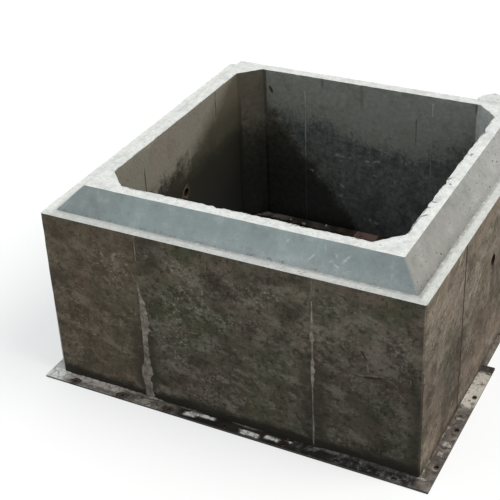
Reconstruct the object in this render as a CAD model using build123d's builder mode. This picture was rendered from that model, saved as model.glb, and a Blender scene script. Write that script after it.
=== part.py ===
from build123d import *
import os

os.makedirs("parts", exist_ok=True)

# A precast reinforced concrete box culvert unit on its steel casting pallet.
# It stands on end, spigot up, with its front towards -Y. Sizes are in millimetres.

# Barrel of the culvert
clear_width = 1500
clear_depth = 1500
wall = 225
laying_length = 950
haunch = 110
arris = 8

# Spigot on the upper end: a flat shoulder, then a taper up to a narrow rim
shoulder = 55
taper_run = 105
spigot_length = 105

# Socket in the lower end: the shape of the spigot, deeper by the mortar gap
joint_gap = 10

# Lifting holes through the left and right walls, lined with steel pipe
lift_height = 610
sleeve_bore = 50
sleeve_wall = 5

# Flat bars of the pallet, drilled for the bolts of the mould
flange_out = 65
flange_thick = 12
bolt_hole = 18
bolt_out = 45
mould_panel = 900
seam_to_bolt = 135
corner_to_bolt = 105
gap_front = 45
gap_back = 255

# Folded plate sections of the pallet that shape the socket, and the ribs inside them
former_plate = 8
former_ledge = 60
rib_plate = 8

# Levels above the ground and distances from the middle
half_width = clear_width / 2 + wall
half_depth = clear_depth / 2 + wall
foot_level = flange_thick
shoulder_level = foot_level + laying_length
rim_level = shoulder_level + spigot_length
lift_level = foot_level + lift_height
taper_share = taper_run / spigot_length
socket_depth = spigot_length + joint_gap
socket_level = foot_level + socket_depth
socket_lip = shoulder - joint_gap * taper_share
sleeve_outside = sleeve_bore + 2 * sleeve_wall


# The concrete is one casting: walls, spigot, socket and barrel in a single solid
with BuildPart() as concrete_box:
    with BuildSketch(Plane.XY.offset(foot_level)):
        Rectangle(2 * half_width, 2 * half_depth)
        chamfer(vertices(), length=arris)
    extrude(amount=laying_length)
    # Tapered spigot, set in from the outer faces by the shoulder
    with BuildSketch(Plane.XY.offset(shoulder_level)):
        Rectangle(2 * (half_width - shoulder), 2 * (half_depth - shoulder))
    with BuildSketch(Plane.XY.offset(rim_level)):
        rim_inset = shoulder + taper_run
        Rectangle(2 * (half_width - rim_inset), 2 * (half_depth - rim_inset))
    loft()
    # Socket that takes the spigot of the next unit
    with BuildSketch(Plane.XY.offset(foot_level)):
        Rectangle(2 * (half_width - socket_lip), 2 * (half_depth - socket_lip))
    with BuildSketch(Plane.XY.offset(socket_level)):
        Rectangle(2 * (half_width - rim_inset), 2 * (half_depth - rim_inset))
    loft(mode=Mode.SUBTRACT)
    # Barrel with a haunch in each corner
    with BuildSketch(Plane.XY.offset(foot_level)):
        Rectangle(clear_width, clear_depth)
        chamfer(vertices(), length=haunch)
    extrude(amount=rim_level - foot_level, mode=Mode.SUBTRACT)
    # Seats of the lifting sleeves, in line through both side walls
    with BuildSketch(Plane.YZ):
        with Locations((0, lift_level)):
            Circle(sleeve_outside / 2)
    extrude(amount=half_width, both=True, mode=Mode.SUBTRACT)
concrete_box.part.label = "concrete_box"
export_step(concrete_box.part, "parts/concrete_box.step")


def lifting_sleeve(outer_end):
    """A length of pipe as long as the wall is thick, from its outer end towards +X."""
    with BuildPart() as sleeve:
        with BuildSketch(Plane.YZ.offset(outer_end)):
            with Locations((0, lift_level)):
                Circle(sleeve_outside / 2)
                Circle(sleeve_bore / 2, mode=Mode.SUBTRACT)
        extrude(amount=wall)
    return sleeve


lifting_sleeve_left = lifting_sleeve(-half_width)
lifting_sleeve_left.part.label = "lifting_sleeve_left"
export_step(lifting_sleeve_left.part, "parts/lifting_sleeve_left.step")

lifting_sleeve_right = lifting_sleeve(half_width - wall)
lifting_sleeve_right.part.label = "lifting_sleeve_right"
export_step(lifting_sleeve_right.part, "parts/lifting_sleeve_right.step")


def flange_bar(turn, face, start, end, half_wall):
    """A flat bar under the lip of one wall, drawn along the front and turned to its side.

    The face is that wall's distance from the middle, and half_wall its own half length. The bar
    runs from start to end and is drilled at each bolt place that it covers.
    """
    bar_width = flange_out + socket_lip
    bar_middle = face + flange_out - bar_width / 2
    by_seam_inner = mould_panel / 2 - seam_to_bolt
    by_seam_outer = mould_panel / 2 + seam_to_bolt
    by_corner = half_wall - corner_to_bolt
    bolt_line = -face - bolt_out
    # One hole in the middle, then one pair at each side of a seam and one by the corners
    places = [0]
    for place in (by_seam_inner, by_seam_outer, by_corner):
        places += [-place, place]
    with BuildPart() as bar:
        with BuildSketch(Plane.XY.rotated((0, 0, turn))):
            with Locations(((start + end) / 2, -bar_middle)):
                Rectangle(end - start, bar_width)
            for place in places:
                if start < place < end:
                    with Locations((place, bolt_line)):
                        Circle(bolt_hole / 2, mode=Mode.SUBTRACT)
        extrude(amount=flange_thick)
    return bar


# The front and back bars fit between the side bars, which run through to the corners
side_run = half_depth + flange_out
between_run = half_width - socket_lip

pallet_flange_front = flange_bar(0, half_depth, -between_run, between_run, half_width)
pallet_flange_front.part.label = "pallet_flange_front"
export_step(pallet_flange_front.part, "parts/pallet_flange_front.step")

pallet_flange_back = flange_bar(180, half_depth, -between_run, between_run, half_width)
pallet_flange_back.part.label = "pallet_flange_back"
export_step(pallet_flange_back.part, "parts/pallet_flange_back.step")

# The side bars are in two lengths, with a gap below the lifting hole
pallet_flange_right_front = flange_bar(90, half_width, -side_run, -gap_front, half_depth)
pallet_flange_right_front.part.label = "pallet_flange_right_front"
export_step(pallet_flange_right_front.part, "parts/pallet_flange_right_front.step")

pallet_flange_right_back = flange_bar(90, half_width, gap_back, side_run, half_depth)
pallet_flange_right_back.part.label = "pallet_flange_right_back"
export_step(pallet_flange_right_back.part, "parts/pallet_flange_right_back.step")

pallet_flange_left_front = flange_bar(270, half_width, gap_front, side_run, half_depth)
pallet_flange_left_front.part.label = "pallet_flange_left_front"
export_step(pallet_flange_left_front.part, "parts/pallet_flange_left_front.step")

pallet_flange_left_back = flange_bar(270, half_width, -side_run, -gap_back, half_depth)
pallet_flange_left_back.part.label = "pallet_flange_left_back"
export_step(pallet_flange_left_back.part, "parts/pallet_flange_left_back.step")


def former_corners(face):
    """Corners of a former's cross-section, from the flange bar inwards and back to the ground.

    They are drawn for the front wall, whose outer face lies at that distance from the middle.
    The section rises along the taper, runs level under the wall as far as a ledge inside the
    barrel, and goes down to the ground there.
    """
    toe = -face + socket_lip
    crown = -face + shoulder + taper_run
    inside = -face + wall + former_ledge
    return [
        (toe, 0),
        (toe, foot_level),
        (crown, socket_level),
        (inside, socket_level),
        (inside, 0),
    ]


def socket_former(turn, face, half_wall):
    """A folded plate that fills the socket under one wall, mitred at both ends."""
    side = Plane.XY.rotated((0, 0, turn))
    across = Plane(origin=side.origin, x_dir=side.y_dir, z_dir=side.x_dir)
    corners = former_corners(face)
    toe = corners[0][0]
    inside = corners[-1][0]
    toe_run = half_wall - socket_lip
    inside_run = half_wall - wall - former_ledge
    with BuildPart() as former:
        with BuildSketch(across):
            with BuildLine():
                Polyline(*corners)
                offset(amount=former_plate, side=Side.RIGHT)
            make_face()
        extrude(amount=half_wall, both=True)
        # The mitres run at 45 degrees into the corners
        with BuildSketch(side):
            with BuildLine():
                Polyline(
                    (-toe_run, toe),
                    (toe_run, toe),
                    (inside_run, inside),
                    (-inside_run, inside),
                    close=True,
                )
            make_face()
        extrude(amount=socket_level, mode=Mode.INTERSECT)
    return former


def former_ribs(turn, face, former):
    """Flat plates that stiffen one former, in the middle and below each seam of the mould."""
    side = Plane.XY.rotated((0, 0, turn))
    across = Plane(origin=side.origin, x_dir=side.y_dir, z_dir=side.x_dir)
    with BuildPart() as ribs:
        for place in (-mould_panel / 2, 0, mould_panel / 2):
            with BuildSketch(across.offset(place)):
                with BuildLine():
                    Polyline(*former_corners(face), close=True)
                make_face()
            extrude(amount=rib_plate / 2, both=True)
        add(former.part, mode=Mode.SUBTRACT)
    return ribs


socket_former_front = socket_former(0, half_depth, half_width)
socket_former_front.part.label = "socket_former_front"
export_step(socket_former_front.part, "parts/socket_former_front.step")

socket_former_right = socket_former(90, half_width, half_depth)
socket_former_right.part.label = "socket_former_right"
export_step(socket_former_right.part, "parts/socket_former_right.step")

socket_former_back = socket_former(180, half_depth, half_width)
socket_former_back.part.label = "socket_former_back"
export_step(socket_former_back.part, "parts/socket_former_back.step")

socket_former_left = socket_former(270, half_width, half_depth)
socket_former_left.part.label = "socket_former_left"
export_step(socket_former_left.part, "parts/socket_former_left.step")

former_ribs_front = former_ribs(0, half_depth, socket_former_front)
former_ribs_front.part.label = "former_ribs_front"
export_step(former_ribs_front.part, "parts/former_ribs_front.step")

former_ribs_right = former_ribs(90, half_width, socket_former_right)
former_ribs_right.part.label = "former_ribs_right"
export_step(former_ribs_right.part, "parts/former_ribs_right.step")

former_ribs_back = former_ribs(180, half_depth, socket_former_back)
former_ribs_back.part.label = "former_ribs_back"
export_step(former_ribs_back.part, "parts/former_ribs_back.step")

former_ribs_left = former_ribs(270, half_width, socket_former_left)
former_ribs_left.part.label = "former_ribs_left"
export_step(former_ribs_left.part, "parts/former_ribs_left.step")
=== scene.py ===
# %% [markdown]
# # A precast box culvert on its casting pallet
#
# The object is one unit of a concrete culvert, standing on end as it left its mould. The packed
# CAD model gives every size. This lesson dresses it: a worn casting with a chipped rim, the
# ridges of grout that the mould left, crusts of spilt mortar on the pallet, and a finish for each
# surface.

# %% Load the frame
import math
import random
import bmesh
import bpy
from mathutils import Matrix, Vector, noise


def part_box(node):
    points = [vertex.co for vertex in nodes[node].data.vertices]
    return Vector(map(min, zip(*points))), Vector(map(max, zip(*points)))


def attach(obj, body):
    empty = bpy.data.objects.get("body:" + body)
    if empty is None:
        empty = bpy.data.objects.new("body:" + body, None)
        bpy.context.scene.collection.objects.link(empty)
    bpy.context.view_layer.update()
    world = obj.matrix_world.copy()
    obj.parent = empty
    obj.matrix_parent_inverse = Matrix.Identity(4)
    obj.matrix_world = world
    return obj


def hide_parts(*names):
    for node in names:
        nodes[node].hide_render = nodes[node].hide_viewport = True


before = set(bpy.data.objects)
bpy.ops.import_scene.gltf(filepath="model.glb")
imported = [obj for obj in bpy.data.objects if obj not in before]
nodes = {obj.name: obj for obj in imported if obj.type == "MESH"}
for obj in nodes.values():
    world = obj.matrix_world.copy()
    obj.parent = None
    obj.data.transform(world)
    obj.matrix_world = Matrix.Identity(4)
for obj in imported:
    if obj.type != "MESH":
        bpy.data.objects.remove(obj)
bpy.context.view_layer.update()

# %% [markdown]
# ## Sizes
#
# The casting is described by how far each of its edges reaches from the middle and how high it
# lies. Most of these come straight from the boxes of the CAD nodes, so that the dressed model
# and the solids cannot drift apart.

# %% Reaches and levels, in metres
casting_low, casting_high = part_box("concrete_box")
reach_wall = casting_high[0]
level_foot, level_rim = casting_low[2], casting_high[2]
reach_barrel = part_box("lifting_sleeve_right")[0][0]
flange_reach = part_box("pallet_flange_right_front")[1][0]
gap_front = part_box("pallet_flange_right_front")[1][1]
gap_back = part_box("pallet_flange_right_back")[0][1]
level_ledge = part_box("socket_former_front")[1][2]
ledge_reach = -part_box("socket_former_front")[1][1]
sleeve_low, sleeve_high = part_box("lifting_sleeve_right")
lift_level = (sleeve_low[2] + sleeve_high[2]) / 2
sleeve_radius = (sleeve_high[2] - sleeve_low[2]) / 2
spigot_rise, shoulder_width, taper_run = 0.105, 0.055, 0.105
haunch, arris, socket_lip = 0.110, 0.008, 0.045
level_shoulder = level_rim - spigot_rise
reach_shoulder = reach_wall - shoulder_width
reach_rim = reach_shoulder - taper_run
seam_place, inner_seam_place = 0.450, 0.380
bolt_places = (0.0, 0.315, 0.585, 0.870)
bolt_gap = 0.045
bolt_reach = reach_wall + bolt_gap
reaches = [round(reach, 3) for reach in (reach_wall, reach_shoulder, reach_rim, reach_barrel)]
print("reach of the wall, the shoulder, the rim and the barrel:", reaches)

# %% [markdown]
# ## The viewpoint
#
# The camera stands where the photograph was taken from: high on the right of the front, with a
# long lens. Its place was found by fitting the edges of the box, so it is written as an eye
# point and two directions, and turned into a matrix.

# %% Camera
eye = Vector((2.2542, -4.8147, 3.7344))
ahead = Vector((-0.40723, 0.74682, -0.52576)).normalized()
upward = Vector((-0.20948, 0.48393, 0.84966))
sideways = ahead.cross(upward).normalized()
upward = sideways.cross(ahead)
camera = bpy.data.objects.new("camera", bpy.data.cameras.new("camera"))
bpy.context.collection.objects.link(camera)
camera.data.sensor_width = 36.0
camera.data.lens = 85.05
turn = Matrix((sideways, upward, -ahead)).transposed()
camera.matrix_world = Matrix.Translation(eye) @ turn.to_4x4()
bpy.context.scene.camera = camera
print("camera at", [round(v, 2) for v in eye], "lens", camera.data.lens)

# %% [markdown]
# ## Tools for the bench
#
# Operators act on whatever is selected. One helper chooses vertices, edges or faces by a rule, and
# the other starts a piece with nothing else selected and with its place in its mesh. Further
# helpers come where they are first needed.

# %% Choose and begin
def choose(kind, rule):
    """In edit mode, select the elements of one kind for which the rule holds, and no others."""
    bpy.ops.mesh.select_mode(type=kind)
    bpy.ops.mesh.select_all(action="DESELECT")
    mesh = bmesh.from_edit_mesh(bpy.context.object.data)
    elements = {"VERT": mesh.verts, "EDGE": mesh.edges, "FACE": mesh.faces}[kind]
    chosen = [element for element in elements if rule(element)]
    for element in chosen:
        element.select_set(True)
    mesh.select_flush_mode()
    bmesh.update_edit_mesh(bpy.context.object.data)
    return len(chosen)


def begin(name, add, **settings):
    """Add a primitive with nothing else selected, apply its scale and go into edit mode."""
    if bpy.context.object and bpy.context.object.mode == "EDIT":
        bpy.ops.object.mode_set(mode="OBJECT")
    bpy.ops.object.select_all(action="DESELECT")
    add(**settings)
    piece = bpy.context.object
    piece.name = piece.data.name = name
    bpy.ops.object.transform_apply(location=True, rotation=True, scale=True)
    bpy.ops.object.mode_set(mode="EDIT")
    return piece


print("meshes before modelling:", len(bpy.data.meshes))

# %% [markdown]
# ## The casting, in big steps
#
# The real unit is one pour of concrete. It could be cut out with booleans, but a ring of clean
# quads is easier to refine later, so it is drawn out of a block: the four upright edges are
# bevelled, the top cap is drawn in for the shoulder, lifted for the taper and drawn in again for
# the rim. The inner loop is squeezed into the haunches and pushed down as the barrel. The bottom
# cap is treated in the same way for the socket.

# %% Steps for the block
def draw_in(old_reach, new_reach, rise):
    """Extrude the chosen cap, lift it and scale it to a smaller reach."""
    bpy.ops.mesh.extrude_region_move(TRANSFORM_OT_translate={"value": (0, 0, rise)})
    share = new_reach / old_reach
    bpy.ops.transform.resize(value=(share, share, 1), center_override=(0, 0, 0))


def draw_haunches(level):
    """Squeeze the corners of the barrel's loop at one level from the arris to the haunch."""
    corner = reach_barrel * (reach_wall - arris) / reach_wall
    share = (reach_barrel - haunch) / corner

    def on_loop(vertex, long, short):
        across, along = abs(vertex.co[long]), abs(vertex.co[short])
        at_corner = abs(across - reach_barrel) < 1e-3 and abs(along - corner) < 1e-3
        return abs(vertex.co.z - level) < 1e-4 and at_corner

    choose("VERT", lambda v: on_loop(v, 0, 1))
    bpy.ops.transform.resize(value=(1, share, 1), center_override=(0, 0, 0))
    choose("VERT", lambda v: on_loop(v, 1, 0))
    bpy.ops.transform.resize(value=(share, 1, 1), center_override=(0, 0, 0))


def cap(level, reach, up):
    """The rule for a level cap of the block: its height, its reach and the way it faces."""
    def rule(face):
        middle = face.calc_center_median()
        far = max(abs(v.co.x) for v in face.verts)
        central = abs(far - reach) < 2e-3 and middle.xy.length < 0.01
        return central and abs(middle.z - level) < 1e-4 and face.normal.z * up > 0.9
    return rule


print("block from", round(level_foot, 3), "to", round(level_shoulder, 3), "m")

# %% [markdown]
# Each cap is chosen by its height, its reach and the way it faces, so that the steps can be read
# from the outside inwards: first the spigot and the barrel at the top, then the socket below.

# %% Block, spigot and barrel
casting = begin(
    "casting", bpy.ops.mesh.primitive_cube_add, size=1,
    location=(0, 0, (level_foot + level_shoulder) / 2),
    scale=(2 * reach_wall, 2 * reach_wall, level_shoulder - level_foot),
)
choose("EDGE", lambda e: abs(e.verts[0].co.z - e.verts[1].co.z) > 0.5)
bpy.ops.mesh.bevel(offset=arris, offset_type="OFFSET", segments=1, affect="EDGES")
choose("FACE", cap(level_shoulder, reach_wall, 1))
draw_in(reach_wall, reach_shoulder, 0)
draw_in(reach_shoulder, reach_rim, spigot_rise)
draw_in(reach_rim, reach_barrel, 0)
draw_haunches(level_rim)
choose("FACE", cap(level_rim, reach_barrel, 1))
bpy.ops.mesh.extrude_region_move(TRANSFORM_OT_translate={"value": (0, 0, level_ledge - level_rim)})
bpy.ops.mesh.delete(type="FACE")
choose("FACE", cap(level_foot, reach_wall, -1))
draw_in(reach_wall, reach_wall - socket_lip, 0)
draw_in(reach_wall - socket_lip, reach_rim, level_ledge - level_foot)
draw_in(reach_rim, reach_barrel, 0)
draw_haunches(level_ledge)
choose("FACE", cap(level_ledge, reach_barrel, -1))
bpy.ops.mesh.delete(type="FACE")
bpy.ops.mesh.select_all(action="SELECT")
bpy.ops.mesh.remove_doubles(threshold=1e-4)
bpy.ops.mesh.normals_make_consistent(inside=False)
bpy.ops.object.mode_set(mode="OBJECT")
print("casting in big steps:", len(casting.data.polygons), "faces")

# %% [markdown]
# ## A slot for each kind of surface
#
# Steel forms, a trowel and the weather leave different skins on one casting. While the faces are
# still few, each is given the slot of its own finish: outer walls, trowelled tops, taper, barrel
# and socket. Later cuts keep these slots.

# %% Sort the faces by their finish
finish_names = ("wall_outside", "trowelled_top", "formed_taper", "barrel_inside", "socket_inside")
for name in finish_names:
    casting.data.materials.append(bpy.data.materials.new(name))
for polygon in casting.data.polygons:
    up, middle = polygon.normal.z, polygon.center
    outward = polygon.normal.x * middle.x + polygon.normal.y * middle.y > 0
    if up > 0.9:
        polygon.material_index = 1
    elif up > 0.3:
        polygon.material_index = 2
    elif up > -0.3:
        polygon.material_index = 0 if outward else 3
    else:
        polygon.material_index = 4
slots = [polygon.material_index for polygon in casting.data.polygons]
print("faces in each finish:", [slots.count(index) for index in range(len(finish_names))])

# %% [markdown]
# ## Cuts where the detail will be
#
# Chips are a few millimetres across and the walls are two metres wide, so an even grid would
# waste its faces. Two bisects mark off narrow bands under the edges. The edges to cut are then
# told by whether they run round the box or cross its section.

# %% Bands, and rules for their edges
def take_up(piece):
    """Make one piece the active and only selected one, in object mode."""
    if bpy.context.object and bpy.context.object.mode == "EDIT":
        bpy.ops.object.mode_set(mode="OBJECT")
    bpy.ops.object.select_all(action="DESELECT")
    piece.select_set(True)
    bpy.context.view_layer.objects.active = piece


take_up(casting)
bpy.ops.object.mode_set(mode="EDIT")
band = 0.030
for level in (level_shoulder - band, level_rim - band):
    bpy.ops.mesh.select_all(action="SELECT")
    bpy.ops.mesh.bisect(plane_co=(0, 0, level), plane_no=(0, 0, 1))


def runs_round(edge):
    """True for an edge that runs round the box, and false for one that crosses its section."""
    a, b = edge.verts[0].co, edge.verts[1].co
    way = (b - a).normalized()
    middle = (a + b) / 2
    return abs(way.z) < 1e-3 and abs(middle.x * way.x + middle.y * way.y) < 1e-3


def crosses(low, high, inside):
    """The rule for section edges whose middle lies between two levels, on one side of the wall."""
    def rule(edge):
        middle = (edge.verts[0].co + edge.verts[1].co) / 2
        upright = abs(edge.verts[0].co.z - edge.verts[1].co.z) > 1e-3
        within = max(abs(middle.x), abs(middle.y)) < reach_barrel + 0.001
        return upright and within == inside and low < middle.z < high and not runs_round(edge)
    return rule


def crosses_flat(level, low, high):
    """The rule for level section edges, at one height and between two reaches from the middle."""
    def rule(edge):
        a, b = edge.verts[0].co, edge.verts[1].co
        middle = (a + b) / 2
        far = max(abs(middle.x), abs(middle.y))
        flat = abs(a.z - level) < 1e-4 and abs(b.z - level) < 1e-4
        return flat and low < far < high and not runs_round(edge)
    return rule


print("casting in bands:", len(bmesh.from_edit_mesh(casting.data).faces), "faces before the cuts")

# %% [markdown]
# Each band of edges is subdivided by its own number of cuts: fine round the spigot, coarse on
# the walls. The long edges that run round the box are cut twice, so that their pieces end up
# about a centimetre long.

# %% Cut the bands
def triangles(piece):
    """How many triangles the faces of a piece make."""
    return sum(len(polygon.vertices) - 2 for polygon in piece.data.polygons)


cuts = (
    (crosses(level_foot, level_shoulder - band, inside=False), 22),
    (crosses(level_shoulder - band, level_shoulder, inside=False), 3),
    (crosses_flat(level_shoulder, reach_shoulder, reach_wall), 6),
    (crosses(level_shoulder, level_rim - band, inside=False), 8),
    (crosses(level_rim - band, level_rim, inside=False), 4),
    (crosses_flat(level_rim, reach_barrel - haunch, reach_rim), 7),
    (crosses(level_rim - band, level_rim, inside=True), 4),
    (crosses(level_shoulder - band, level_rim - band, inside=True), 5),
    (crosses(level_ledge, level_shoulder - band, inside=True), 18),
)
for rule, number in cuts:
    found = choose("EDGE", rule)
    bpy.ops.mesh.subdivide(number_cuts=number)
    print("section edges", found, "cut into", number + 1)
choose("EDGE", lambda e: runs_round(e) and e.calc_length() < 0.2)
bpy.ops.mesh.subdivide(number_cuts=9)
choose("EDGE", lambda e: runs_round(e) and e.calc_length() > 0.6)
bpy.ops.mesh.subdivide(number_cuts=12)


def half_cut(edge):
    """The rule for the long edges after their first cuts: square to the walls, and still long."""
    way = edge.verts[1].co - edge.verts[0].co
    square = max(abs(way.x), abs(way.y)) > 0.999 * way.length
    return square and 0.08 < way.length < 0.17


choose("EDGE", half_cut)
bpy.ops.mesh.subdivide(number_cuts=12)
bpy.ops.object.mode_set(mode="OBJECT")
print("casting after the cuts:", triangles(casting), "triangles")

# %% [markdown]
# ## Wear on the edges
#
# A rim that was trowelled and then stripped of its core has broken edges, with a few larger
# notches where the core was levered out. Vertex groups say how near each vertex is to an edge or
# a notch. A notch is given by its place on the rim and its radius.

# %% Nearness to edges and notches
inner_wear, rim_wear, shoulder_wear, arris_wear = 0.026, 0.018, 0.016, 0.024
notches = (
    (0.750, -0.614, 0.030), (0.750, -0.377, 0.022), (0.755, -0.307, 0.028), (0.750, -0.137, 0.030),
    (0.750, 0.130, 0.016), (0.750, 0.458, 0.030), (-0.049, 0.750, 0.020), (0.186, 0.750, 0.026),
    (-0.420, 0.750, 0.018), (-0.750, 0.240, 0.018), (-0.750, -0.310, 0.024), (0.300, -0.750, 0.013),
    (-0.120, -0.750, 0.026), (0.815, -0.220, 0.018), (0.815, 0.340, 0.016), (-0.815, 0.090, 0.022),
)


def closeness(distance, limit):
    """One at no distance, falling to nothing at the limit."""
    return max(0.0, 1.0 - distance / limit)


def edge_weights(place):
    """How near a place on the casting is to its inner rim, its outer edges and its notches."""
    x, y, z = place
    far = max(abs(x), abs(y))
    octagon = max(far, abs(x) + abs(y) - reach_barrel + haunch)
    outer = (
        closeness(math.hypot(far - reach_rim, z - level_rim), rim_wear),
        closeness(math.hypot(far - reach_wall, z - level_shoulder), shoulder_wear),
        closeness(math.hypot(abs(x) - reach_wall, abs(y) - reach_wall), arris_wear),
    )
    marks = (closeness((place - Vector((nx, ny, level_rim))).length, size) for nx, ny, size in notches)
    return {
        "rim_edge": closeness(math.hypot(octagon - reach_barrel, z - level_rim), inner_wear),
        "outer_edges": max(outer),
        "notches": max(marks),
        "tops": 1.0 if abs(z - level_rim) < 1e-4 or abs(z - level_shoulder) < 1e-4 else 0.0,
    }


group_names = ("rim_edge", "outer_edges", "notches", "tops")
groups = {name: casting.vertex_groups.new(name=name) for name in group_names}
for vertex in casting.data.vertices:
    for name, weight in edge_weights(vertex.co).items():
        if weight > 0:
            groups[name].add((vertex.index,), weight, "REPLACE")
print("vertex groups:", len(casting.vertex_groups), "on", len(casting.data.vertices), "vertices")

# %% [markdown]
# Displace modifiers with cloud textures push the vertices of each group back into the concrete,
# and a last one makes all faces slightly uneven. Every push goes inwards, so the casting stays
# inside the size of the solid.

# %% Chips and unevenness
def apply_modifier(piece, kind, **settings):
    """Add a modifier with its settings and apply it at once."""
    take_up(piece)
    modifier = piece.modifiers.new(kind.lower(), kind)
    for key, value in settings.items():
        setattr(modifier, key, value)
    bpy.ops.object.modifier_apply(modifier=modifier.name)


def cloud_texture(name, size, depth, contrast, brightness):
    """A cloud pattern for the Displace modifier, with its contrast set so that few spots are high."""
    texture = bpy.data.textures.new(name, "CLOUDS")
    texture.noise_scale, texture.noise_depth = size, depth
    texture.contrast, texture.intensity = contrast, brightness
    return texture


wear = (
    (cloud_texture("broken", 0.034, 1, 2.0, 0.85), -0.0030, 0.0, "rim_edge"),
    (cloud_texture("worn", 0.080, 1, 1.6, 0.85), -0.0022, 0.0, "outer_edges"),
    (cloud_texture("levered", 0.030, 1, 1.2, 1.20), -0.0085, 0.0, "notches"),
    (cloud_texture("trowelled", 0.060, 2, 1.0, 1.00), 0.0016, 1.0, "tops"),
    (cloud_texture("panels", 0.300, 1, 1.0, 1.00), 0.0030, 1.0, ""),
)
for texture, strength, middle, group in wear:
    settings = {"texture": texture, "strength": strength, "mid_level": middle, "vertex_group": group}
    apply_modifier(casting, "DISPLACE", **settings)
print("casting top after wear:", round(max(v.co.z for v in casting.data.vertices), 4))

# %% [markdown]
# ## Holes through the walls
#
# The lifting holes were cast round pipes, and one air void shows in the back of the barrel. Both
# are cut with booleans, because a round hole through a square grid has no edges to follow.

# %% Lifting holes and void
bore = begin(
    "bore", bpy.ops.mesh.primitive_cylinder_add, vertices=48, radius=sleeve_radius, depth=3,
    location=(0, 0, lift_level), rotation=(0, math.pi / 2, 0),
)
void = begin(
    "void", bpy.ops.mesh.primitive_ico_sphere_add, subdivisions=3, radius=0.01,
    location=(-0.594, reach_barrel + 0.003, 0.947), scale=(1.0, 1.6, 2.4), rotation=(0, -0.4, 0),
)
for cutter in (bore, void):
    apply_modifier(casting, "BOOLEAN", operation="DIFFERENCE", object=cutter, solver="MANIFOLD")
    bpy.data.objects.remove(cutter)
take_up(casting)
bpy.ops.object.shade_smooth_by_angle(angle=math.radians(32))
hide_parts("concrete_box")
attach(casting, "root")
print("casting finished:", triangles(casting), "triangles")

# %% [markdown]
# ## Grout along the mould's seams
#
# Grout leaks between two steel panels and sets as a thin, ragged ridge. A long cube is cut into
# short lengths, and a table gives the ridge its left edge and width at each level; a noise frays
# the edges and the height. Where a ridge is thin it sinks into the wall and looks broken off.

# %% A ragged ridge
thinnest, sunk_below, root_depth = 0.0015, 0.0028, 0.006


def between(rows, z):
    """Left edge and width of a ridge at one level, between the rows of its table."""
    z = min(max(z, rows[0][0]), rows[-1][0])
    for first, second in zip(rows, rows[1:]):
        if first[0] <= z <= second[0]:
            share = (z - first[0]) / (second[0] - first[0])
            return [a + (b - a) * share for a, b in zip(first[1:], second[1:])]


def ridge(name, face, place, rows, proud, columns, cuts, seed, turn=0.0):
    """A ragged ridge on a wall that faces the front, shaped by a table and then turned round Z."""
    low, high = rows[0][0], rows[-1][0]
    piece = begin(
        name, bpy.ops.mesh.primitive_cube_add, size=1,
        location=(0.5, face, (low + high) / 2), scale=(1, 0.01, high - low),
    )
    choose("EDGE", lambda e: abs(e.verts[0].co.z - e.verts[1].co.z) > 0.01)
    bpy.ops.mesh.subdivide(number_cuts=cuts)
    choose("EDGE", lambda e: abs(e.verts[0].co.x - e.verts[1].co.x) > 0.5)
    bpy.ops.mesh.subdivide(number_cuts=columns)
    mesh = bmesh.from_edit_mesh(piece.data)
    for vertex in mesh.verts:
        across, z = vertex.co.x, vertex.co.z
        left, width = between(rows, z)
        frayed = 1 + 0.30 * noise.noise((seed, 35 * z, 0.5)) + 0.25 * noise.noise((seed, 110 * z, 2.5))
        width = max(thinnest, width * frayed)
        crest = 1 - (2 * across - 1) ** 4
        rough = noise.noise((25 * across * width * 30, 40 * z, seed))
        rough = rough + 0.5 * noise.noise((9 * across, 120 * z, seed))
        lift = proud * crest * min(1.0, width / 0.010) * (0.75 + 0.5 * rough) - 0.0008
        if width < sunk_below or min(z - low, high - z) < 1e-5:
            lift = -0.0045
        outside = vertex.co.y < face
        vertex.co.x = place + left + across * width + 0.0015 * noise.noise((seed, 9 * z, 7.5))
        vertex.co.y = face - lift if outside else face + root_depth
    bmesh.update_edit_mesh(piece.data)
    bpy.ops.mesh.select_all(action="SELECT")
    bpy.ops.transform.rotate(value=turn, orient_axis="Z", center_override=(0, 0, 0))
    bpy.ops.mesh.normals_make_consistent(inside=False)
    bpy.ops.object.mode_set(mode="OBJECT")
    return piece


print("a ridge narrower than", sunk_below, "m is sunk into the wall")

# %% [markdown]
# Each row is a level, a left edge and a width, in metres. On the front the left seam leaked badly
# and carries a wide smear on its lower half. The back repeats the ridge of the front, and inside
# the ridges are fainter.

# %% Ridges at the seams
def join(name, pieces):
    """Join pieces into the first one and name it."""
    take_up(pieces[0])
    for piece in pieces:
        piece.select_set(True)
    bpy.ops.object.join()
    pieces[0].name = pieces[0].data.name = name
    return pieces[0]


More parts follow.
